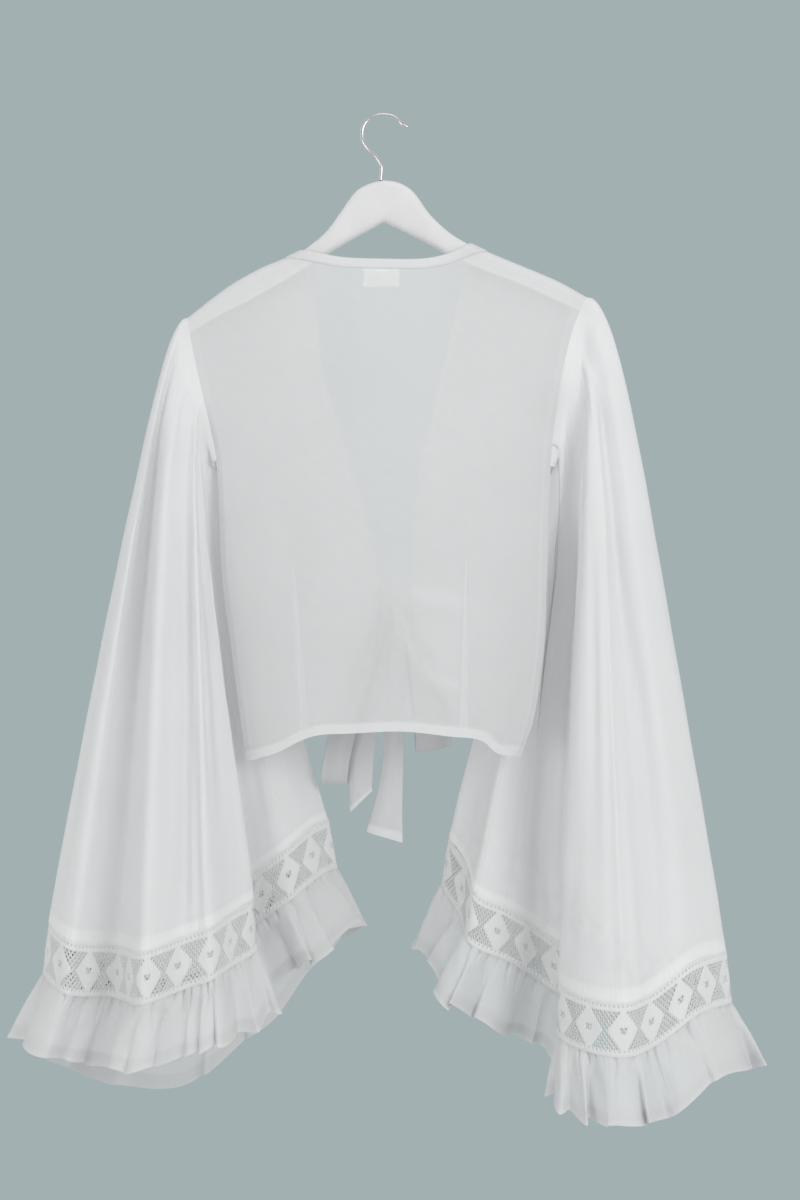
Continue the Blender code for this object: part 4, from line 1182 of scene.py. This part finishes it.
def make_hook(chrome):
    """The hook's wire: rings along the hook's curve, with a rounded tip."""
    rows = rows_of(HOOK)
    line = along(smooth(rows, np.linspace(0, len(rows) - 1, 400)), np.linspace(0, 1, 150))
    path = np.stack([line[:, 0], np.zeros(len(line)), -line[:, 1]], axis=-1)
    way = unit(np.gradient(path, axis=0))
    side_way = np.repeat([[0.0, 1.0, 0.0]], len(path), axis=0)
    up = np.cross(way, side_way)
    radius = np.full(len(path), WIRE / 2)
    radius[-4:] = WIRE / 2 * np.array([0.96, 0.85, 0.6, 0.02])
    turn = np.linspace(0, 2 * np.pi, 16, endpoint=False)
    grid = path[:, None] + radius[:, None, None] * (
        side_way[:, None] * np.cos(turn)[None, :, None] + up[:, None] * np.sin(turn)[None, :, None]
    )
    piece = lay_sheets("hook_wire", [(grid, True, grid - path[:, None], (0.0, 0.0))], chrome)
    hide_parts("hanger_hook")


# Materials

def put(tree, node, values):
    """Sets a node's inputs and its own settings. A socket is linked, and anything else is a value."""
    for key, value in values.items():
        if isinstance(value, bpy.types.NodeSocket):
            tree.links.new(value, node.inputs[key])
        elif isinstance(key, int) or key in node.inputs:
            node.inputs[key].default_value = value
        else:
            setattr(node, key, value)
    return node


def new_material(name):
    """A material with its shader, and two helpers: one adds a node and gives one of its outputs, one sets
    the shader."""
    material = bpy.data.materials.new(name)
    material.use_nodes = True
    tree = material.node_tree
    shader = tree.nodes["Principled BSDF"]

    def node(kind, output, values=()):
        return put(tree, tree.nodes.new("ShaderNode" + kind), dict(values)).outputs[output]

    def shade(values):
        put(tree, shader, values)

    return material, node, shade


def tint(node, by, colour, low, high, start=0.0, end=1.0):
    """The colour, from a darker tone of it to a lighter one."""
    output = node("ValToRGB", "Color", {"Fac": by})
    for element, light, place in zip(output.node.color_ramp.elements, (low, high), (start, end)):
        element.color, element.position = (*[c * light for c in colour], 1.0), place
    return output


def show_through(material, node, cover, passed, backed=None):
    """Lets a thin surface glow with the light behind it, and shows what is behind it between its threads,
    less so where it is backed."""
    nodes = material.node_tree.nodes
    shader = nodes["Principled BSDF"]
    colour, normal = (shader.inputs[key].links[0].from_socket for key in ("Base Color", "Normal"))
    glow = node("BsdfTranslucent", "BSDF", {"Color": colour, "Normal": normal})
    thin = node("MixShader", "Shader", {0: passed, 1: shader.outputs["BSDF"], 2: glow})
    share = cover
    if backed is not None:
        share = node("MapRange", "Result", {"Value": backed, "To Min": cover, "To Max": 0.5 + 0.5 * cover})
    whole = node("MixShader", "Shader", {0: share, 1: node("BsdfTransparent", "BSDF"), 2: thin})
    put(material.node_tree, nodes["Material Output"], {"Surface": whole})


def cloth_material(name, settings, cover, shade=1.0):
    """Crepe voile: a fine plain weave with slubs, uneven by a few hundredths, matt with a little sheen.
    Light passes through its threads and between them. The shade factor gives lighter and darker copies of
    the one voile: on the panels, sleeves, ruffles and ties this is painted light and shade. Where the cloth
    is backed its colour is painted whiter, as painted light from what lies behind it."""
    material, node, surface = new_material(name)
    uv = node("UVMap", "UV", {"uv_map": "cloth"})
    stretch = node("Mapping", "Vector", {"Scale": (1900.0, 1900.0, 1.0), "Vector": uv})
    thread = {"Scale": 0.5, "Distortion": 2.5, "Detail": 2.0, "Detail Scale": 0.6, "Vector": stretch}
    warp = node("TexWave", "Fac", thread)
    weft = node("TexWave", "Fac", {**thread, "bands_direction": "Y"})
    woven = node("Math", "Value", {"operation": "MAXIMUM", 0: warp, 1: weft})
    place = node("TexCoord", "Object")
    slub = node("TexNoise", "Fac", {"Scale": 260.0, "Detail": 3.0, "Vector": place})
    cloud = node("TexNoise", "Fac", {"Scale": 9.0, "Detail": 3.0, "Roughness": 0.55, "Vector": place})
    height = node("Math", "Value", {"operation": "MULTIPLY_ADD", 0: woven, 1: 0.6, 2: slub})
    shape = node("Bump", "Normal", {"Strength": 0.3, "Distance": 0.0003, "Height": height})
    plain = tint(node, cloud, settings.cloth_colour, 0.97 * shade, shade, 0.3, 0.7)
    # The whiter colour where the cloth is backed is painted light, standing in for the light of the white
    # things behind it.
    white = (*[min(0.96, c * shade * 1.1) for c in settings.cloth_colour], 1.0)
    backed = node("Attribute", "Fac", {"attribute_name": "backed"})
    colour = node("Mix", 2, {"data_type": "RGBA", 0: backed, 6: plain, 7: white})
    surface({"Base Color": colour, "Normal": shape, "Roughness": 0.85})
    surface({"Specular IOR Level": 0.25, "Sheen Weight": 0.12})
    show_through(material, node, cover, settings.passed, backed)
    return material


def yarn_material(settings):
    """Crochet cotton: matt, opaque, with the twist of its yarn as fine slanting ribs."""
    material, node, surface = new_material("crochet yarn")
    uv = node("UVMap", "UV", {"uv_map": "cloth"})
    turned = {"Scale": (900.0, 900.0, 1.0), "Rotation": (0.0, 0.0, 0.6), "Vector": uv}
    slant = node("Mapping", "Vector", turned)
    twist = node("TexWave", "Fac", {"Scale": 0.5, "Distortion": 3.0, "Detail": 2.0, "Vector": slant})
    place = node("TexCoord", "Object")
    fuzz = node("TexNoise", "Fac", {"Scale": 900.0, "Detail": 3.0, "Vector": place})
    height = node("Math", "Value", {"operation": "ADD", 0: twist, 1: fuzz})
    shape = node("Bump", "Normal", {"Strength": 0.4, "Distance": 0.0002, "Height": height})
    cloud = node("TexNoise", "Fac", {"Scale": 40.0, "Detail": 2.0, "Vector": place})
    colour = tint(node, cloud, settings.yarn_colour, 0.94, 1.0)
    surface({"Base Color": colour, "Normal": shape, "Roughness": 0.92, "Specular IOR Level": 0.2})
    show_through(material, node, 1.0, 0.2)
    return material


def thread_material(name, settings):
    """Sewing thread: white cotton with a soft shine, and uneven in tone from stitch to stitch."""
    material, node, surface = new_material(name)
    place = node("TexCoord", "Object")
    cloud = node("TexNoise", "Fac", {"Scale": 420.0, "Detail": 2.0, "Vector": place})
    surface({"Base Color": tint(node, cloud, settings.yarn_colour, 0.8, 0.98), "Roughness": 0.55})
    return material


def paint_material(settings):
    """White satin paint over wood: faint brush lines along the arm, and duller rubbed places."""
    material, node, surface = new_material("satin paint")
    place = node("TexCoord", "Object")
    long = node("Mapping", "Vector", {"Scale": (12.0, 160.0, 160.0), "Vector": place})
    brush = node("TexNoise", "Fac", {"Scale": 3.0, "Detail": 4.0, "Vector": long})
    shape = node("Bump", "Normal", {"Strength": 0.12, "Distance": 0.0006, "Height": brush})
    worn = node("TexNoise", "Fac", {"Scale": 35.0, "Detail": 3.0, "Vector": place})
    rough = node("MapRange", "Result", {"To Min": 0.32, "To Max": 0.5, "Value": worn})
    colour = tint(node, worn, settings.paint_colour, 0.955, 1.0, 0.3, 0.62)
    surface({"Base Color": colour, "Roughness": rough, "Normal": shape, "Coat Weight": 0.15})
    return material


def chrome_material():
    """Bright plated wire with a few duller, faintly bumpy spots."""
    material, node, surface = new_material("plated wire")
    place = node("TexCoord", "Object")
    spots = node("TexNoise", "Fac", {"Scale": 300.0, "Detail": 3.0, "Vector": place})
    rough = node("MapRange", "Result", {"To Min": 0.1, "To Max": 0.28, "Value": spots})
    shape = node("Bump", "Normal", {"Strength": 0.08, "Distance": 0.0002, "Height": spots})
    surface({"Base Color": (0.62, 0.62, 0.63, 1.0), "Metallic": 1.0, "Roughness": rough, "Normal": shape})
    return material


def label_material(name, shade):
    """Bare woven tape: fine ribs across it."""
    material, node, surface = new_material(name)
    place = node("TexCoord", "Object")
    ribbed = {"bands_direction": "Z", "Scale": 500.0, "Distortion": 1.0, "Vector": place}
    ribs = node("TexWave", "Fac", ribbed)
    shape = node("Bump", "Normal", {"Strength": 0.3, "Distance": 0.0002, "Height": ribs})
    cloud = node("TexNoise", "Fac", {"Scale": 120.0, "Vector": place})
    colour = tint(node, cloud, [shade] * 3, 0.94, 1.0)
    surface({"Base Color": colour, "Normal": shape, "Roughness": 0.6})
    return material


# Settings, operators and panel

class WrapTopSettings(bpy.types.PropertyGroup):
    """The colours and lights that a user would change."""

    cloth_colour: FloatVectorProperty(
        name="Cloth", description="Colour of the voile", subtype="COLOR", size=3,
        default=(0.85, 0.855, 0.86),
    )
    yarn_colour: FloatVectorProperty(
        name="Yarn", description="Colour of the crochet cotton", subtype="COLOR", size=3,
        default=(0.86, 0.865, 0.865),
    )
    paint_colour: FloatVectorProperty(
        name="Paint", description="Colour of the hanger", subtype="COLOR", size=3,
        default=(0.70, 0.70, 0.705),
    )
    backdrop_colour: FloatVectorProperty(
        name="Backdrop", description="Colour behind the top", subtype="COLOR", size=3,
        default=(0.366, 0.434, 0.445),
    )
    cover: FloatProperty(
        name="Cover", description="How much one layer of voile hides what is behind it",
        subtype="FACTOR", min=0.3, max=1.0, default=0.76,
    )
    passed: FloatProperty(
        name="Glow", description="Share of its light that one layer of voile passes on",
        subtype="FACTOR", min=0.0, max=0.8, default=0.15,
    )
    key_power: FloatProperty(
        name="Key light", description="Power of the large light", subtype="POWER", default=27.0
    )
    fill_light: FloatProperty(name="Fill", description="Strength of the light from all round", default=0.66)


class LaceSettings(bpy.types.PropertyGroup):
    """The crochet band's sizes."""

    repeat_mm: FloatProperty(
        name="Repeat", description="Length of one repeat of the pattern in millimetres", default=36.0
    )
    hole_pitch_mm: FloatProperty(
        name="Hole pitch", description="From hole to hole across, in millimetres", default=2.3
    )
    rows: IntProperty(name="Rows", description="Rows of cells down the band", default=17)


class WRAPTOP_OT_panels(bpy.types.Operator):
    """Makes the back, the two fronts and the neck tapes"""

    bl_idname = "wrap_top.panels"
    bl_label = "Back, fronts and neck tapes"

    def execute(self, context):
        settings = context.scene.wrap_top
        # The panels' voile is a darker copy, shade 0.92: painted shade.
        cloth = cloth_material("voile", settings, settings.cover - 0.05, 0.92)
        thread = thread_material("sewing thread", settings)
        make_back(cloth, thread)
        for side in SIGN:
            make_front(side, cloth, thread)
        make_neck_tapes(cloth_material("neck tape", settings, 0.84, 0.97), thread)
        return {"FINISHED"}


class WRAPTOP_OT_sleeves(bpy.types.Operator):
    """Makes the two bell sleeves"""

    bl_idname = "wrap_top.sleeves"
    bl_label = "Sleeves"

    def execute(self, context):
        settings = context.scene.wrap_top
        # The sleeves' voile is a lighter copy, shade 1.03: painted light.
        cloth = cloth_material("sleeve voile", settings, min(1.0, settings.cover + 0.07), 1.03)
        for side in SIGN:
            make_sleeve(side, cloth)
        return {"FINISHED"}


class WRAPTOP_OT_lace(bpy.types.Operator):
    """Makes the crochet lace bands"""

    bl_idname = "wrap_top.lace"
    bl_label = "Lace bands"

    def execute(self, context):
        yarn = yarn_material(context.scene.wrap_top)
        thread = thread_material("lace thread", context.scene.wrap_top)
        for side in SIGN:
            make_lace(side, yarn, thread, context.scene.wrap_top_lace)
        return {"FINISHED"}


class WRAPTOP_OT_ruffles(bpy.types.Operator):
    """Makes the gathered ruffles"""

    bl_idname = "wrap_top.ruffles"
    bl_label = "Ruffles"

    def execute(self, context):
        settings = context.scene.wrap_top
        # The ruffles' voile is a darker copy, shade 0.92: painted shade.
        cloth = cloth_material("ruffle voile", settings, min(1.0, settings.cover + 0.06), 0.92)
        for side in SIGN:
            make_ruffle(side, cloth)
        return {"FINISHED"}


class WRAPTOP_OT_ties(bpy.types.Operator):
    """Makes the bow: knot, loops and tails"""

    bl_idname = "wrap_top.ties"
    bl_label = "Ties"

    def execute(self, context):
        settings = context.scene.wrap_top
        # The ties' voile is a darker copy, shade 0.88: painted shade.
        make_ties(cloth_material("tie voile", settings, settings.cover, 0.88))
        return {"FINISHED"}


class WRAPTOP_OT_hanger(bpy.types.Operator):
    """Makes the hanger and its hook, and finishes the labels"""

    bl_idname = "wrap_top.hanger"
    bl_label = "Hanger and labels"

    def execute(self, context):
        make_hanger(paint_material(context.scene.wrap_top))
        make_hook(chrome_material())
        for name, shade in (("neck_label", 0.88), ("size_tab", 0.93)):
            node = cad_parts[name]
            node.material_slots[0].material = label_material(name.replace("_", " "), shade)
        return {"FINISHED"}


class WRAPTOP_OT_stage(bpy.types.Operator):
    """Makes the floor, the lights and the camera"""

    bl_idname = "wrap_top.stage"
    bl_label = "Floor, lights and camera"

    def execute(self, context):
        settings = context.scene.wrap_top
        scene = context.scene
        turn = ring_turn(FLOOR_CORNERS)
        x, y = FLOOR_RADIUS * np.cos(turn), FLOOR_RADIUS * np.sin(turn)
        points = np.stack([x, y, np.full_like(x, FLOOR_HEIGHT)], axis=-1)
        mesh = bpy.data.meshes.new("floor")
        mesh.from_pydata(points.tolist(), [], [list(range(FLOOR_CORNERS))])
        floor = bpy.data.objects.new("floor", mesh)
        scene.collection.objects.link(floor)
        material, _, surface = new_material("floor paint")
        surface({"Base Color": (0.6, 0.64, 0.64, 1.0), "Roughness": 0.8})
        mesh.materials.append(material)

        world = bpy.data.worlds.new("studio")
        world.use_nodes = True
        scene.world = world
        tree = world.node_tree
        nodes = tree.nodes
        white, backdrop = (1.0, 1.0, 1.0, 1.0), (*settings.backdrop_colour, 1.0)
        soft = put(tree, nodes["Background"], {"Color": white, "Strength": settings.fill_light}).outputs[0]
        seen = put(tree, nodes.new("ShaderNodeBackground"), {"Color": backdrop}).outputs[0]
        by_camera = nodes.new("ShaderNodeLightPath").outputs["Is Camera Ray"]
        mix = put(tree, nodes.new("ShaderNodeMixShader"), {0: by_camera, 1: soft, 2: seen})
        put(tree, nodes["World Output"], {"Surface": mix.outputs["Shader"]})

        for name, place, size, power in (
            ("key", (1.6, -2.35, 0.1), 1.5, settings.key_power),
            ("side", (-2.3, -1.9, -0.7), 1.4, settings.key_power * 0.5),
            ("back", (-0.6, 2.6, 0.6), 1.8, settings.key_power * 0.4),
            ("top", (0.2, -1.0, 1.5), 1.2, settings.key_power * 0.2),
        ):
            light = bpy.data.lights.new(name, "AREA")
            light.shape, light.size, light.energy = "DISK", size, power
            lamp = bpy.data.objects.new(name, light)
            lamp.location = place
            lamp.rotation_euler = (LIGHT_AIM - Vector(place)).to_track_quat("-Z", "Y").to_euler()
            scene.collection.objects.link(lamp)

        data = bpy.data.cameras.new("camera")
        data.sensor_width = SENSOR
        data.lens = SENSOR / FRAME_TALL * CAMERA_FAR
        camera = bpy.data.objects.new("camera", data)
        camera.location = CAMERA_AT
        camera.rotation_euler = (CAMERA_AIM - CAMERA_AT).to_track_quat("-Z", "Y").to_euler()
        scene.collection.objects.link(camera)
        scene.camera = camera
        scene.view_settings.view_transform = "Standard"
        return {"FINISHED"}


STEPS = (
    WRAPTOP_OT_hanger, WRAPTOP_OT_panels, WRAPTOP_OT_sleeves, WRAPTOP_OT_lace, WRAPTOP_OT_ruffles,
    WRAPTOP_OT_ties, WRAPTOP_OT_stage,
)


class WRAPTOP_PT_panel(bpy.types.Panel):
    """Lists the steps and their settings"""

    bl_idname = "WRAPTOP_PT_panel"
    bl_label = "Wrap top"
    bl_space_type = "VIEW_3D"
    bl_region_type = "UI"
    bl_category = "Wrap top"

    def draw(self, context):
        for settings in (context.scene.wrap_top, context.scene.wrap_top_lace):
            for name in settings.__annotations__:
                self.layout.prop(settings, name)
        for step in STEPS:
            self.layout.operator(step.bl_idname)


CLASSES = (WrapTopSettings, LaceSettings, *STEPS, WRAPTOP_PT_panel)


def register():
    for cls in CLASSES:
        bpy.utils.register_class(cls)
    bpy.types.Scene.wrap_top = PointerProperty(type=WrapTopSettings)
    bpy.types.Scene.wrap_top_lace = PointerProperty(type=LaceSettings)


def unregister():
    del bpy.types.Scene.wrap_top_lace
    del bpy.types.Scene.wrap_top
    for cls in reversed(CLASSES):
        bpy.utils.unregister_class(cls)


def main():
    """Builds every piece."""
    register()
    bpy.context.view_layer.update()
    for step in STEPS:
        name = step.bl_idname.split(".")[1]
        getattr(bpy.ops.wrap_top, name)()


if __name__ == "__main__":
    main()
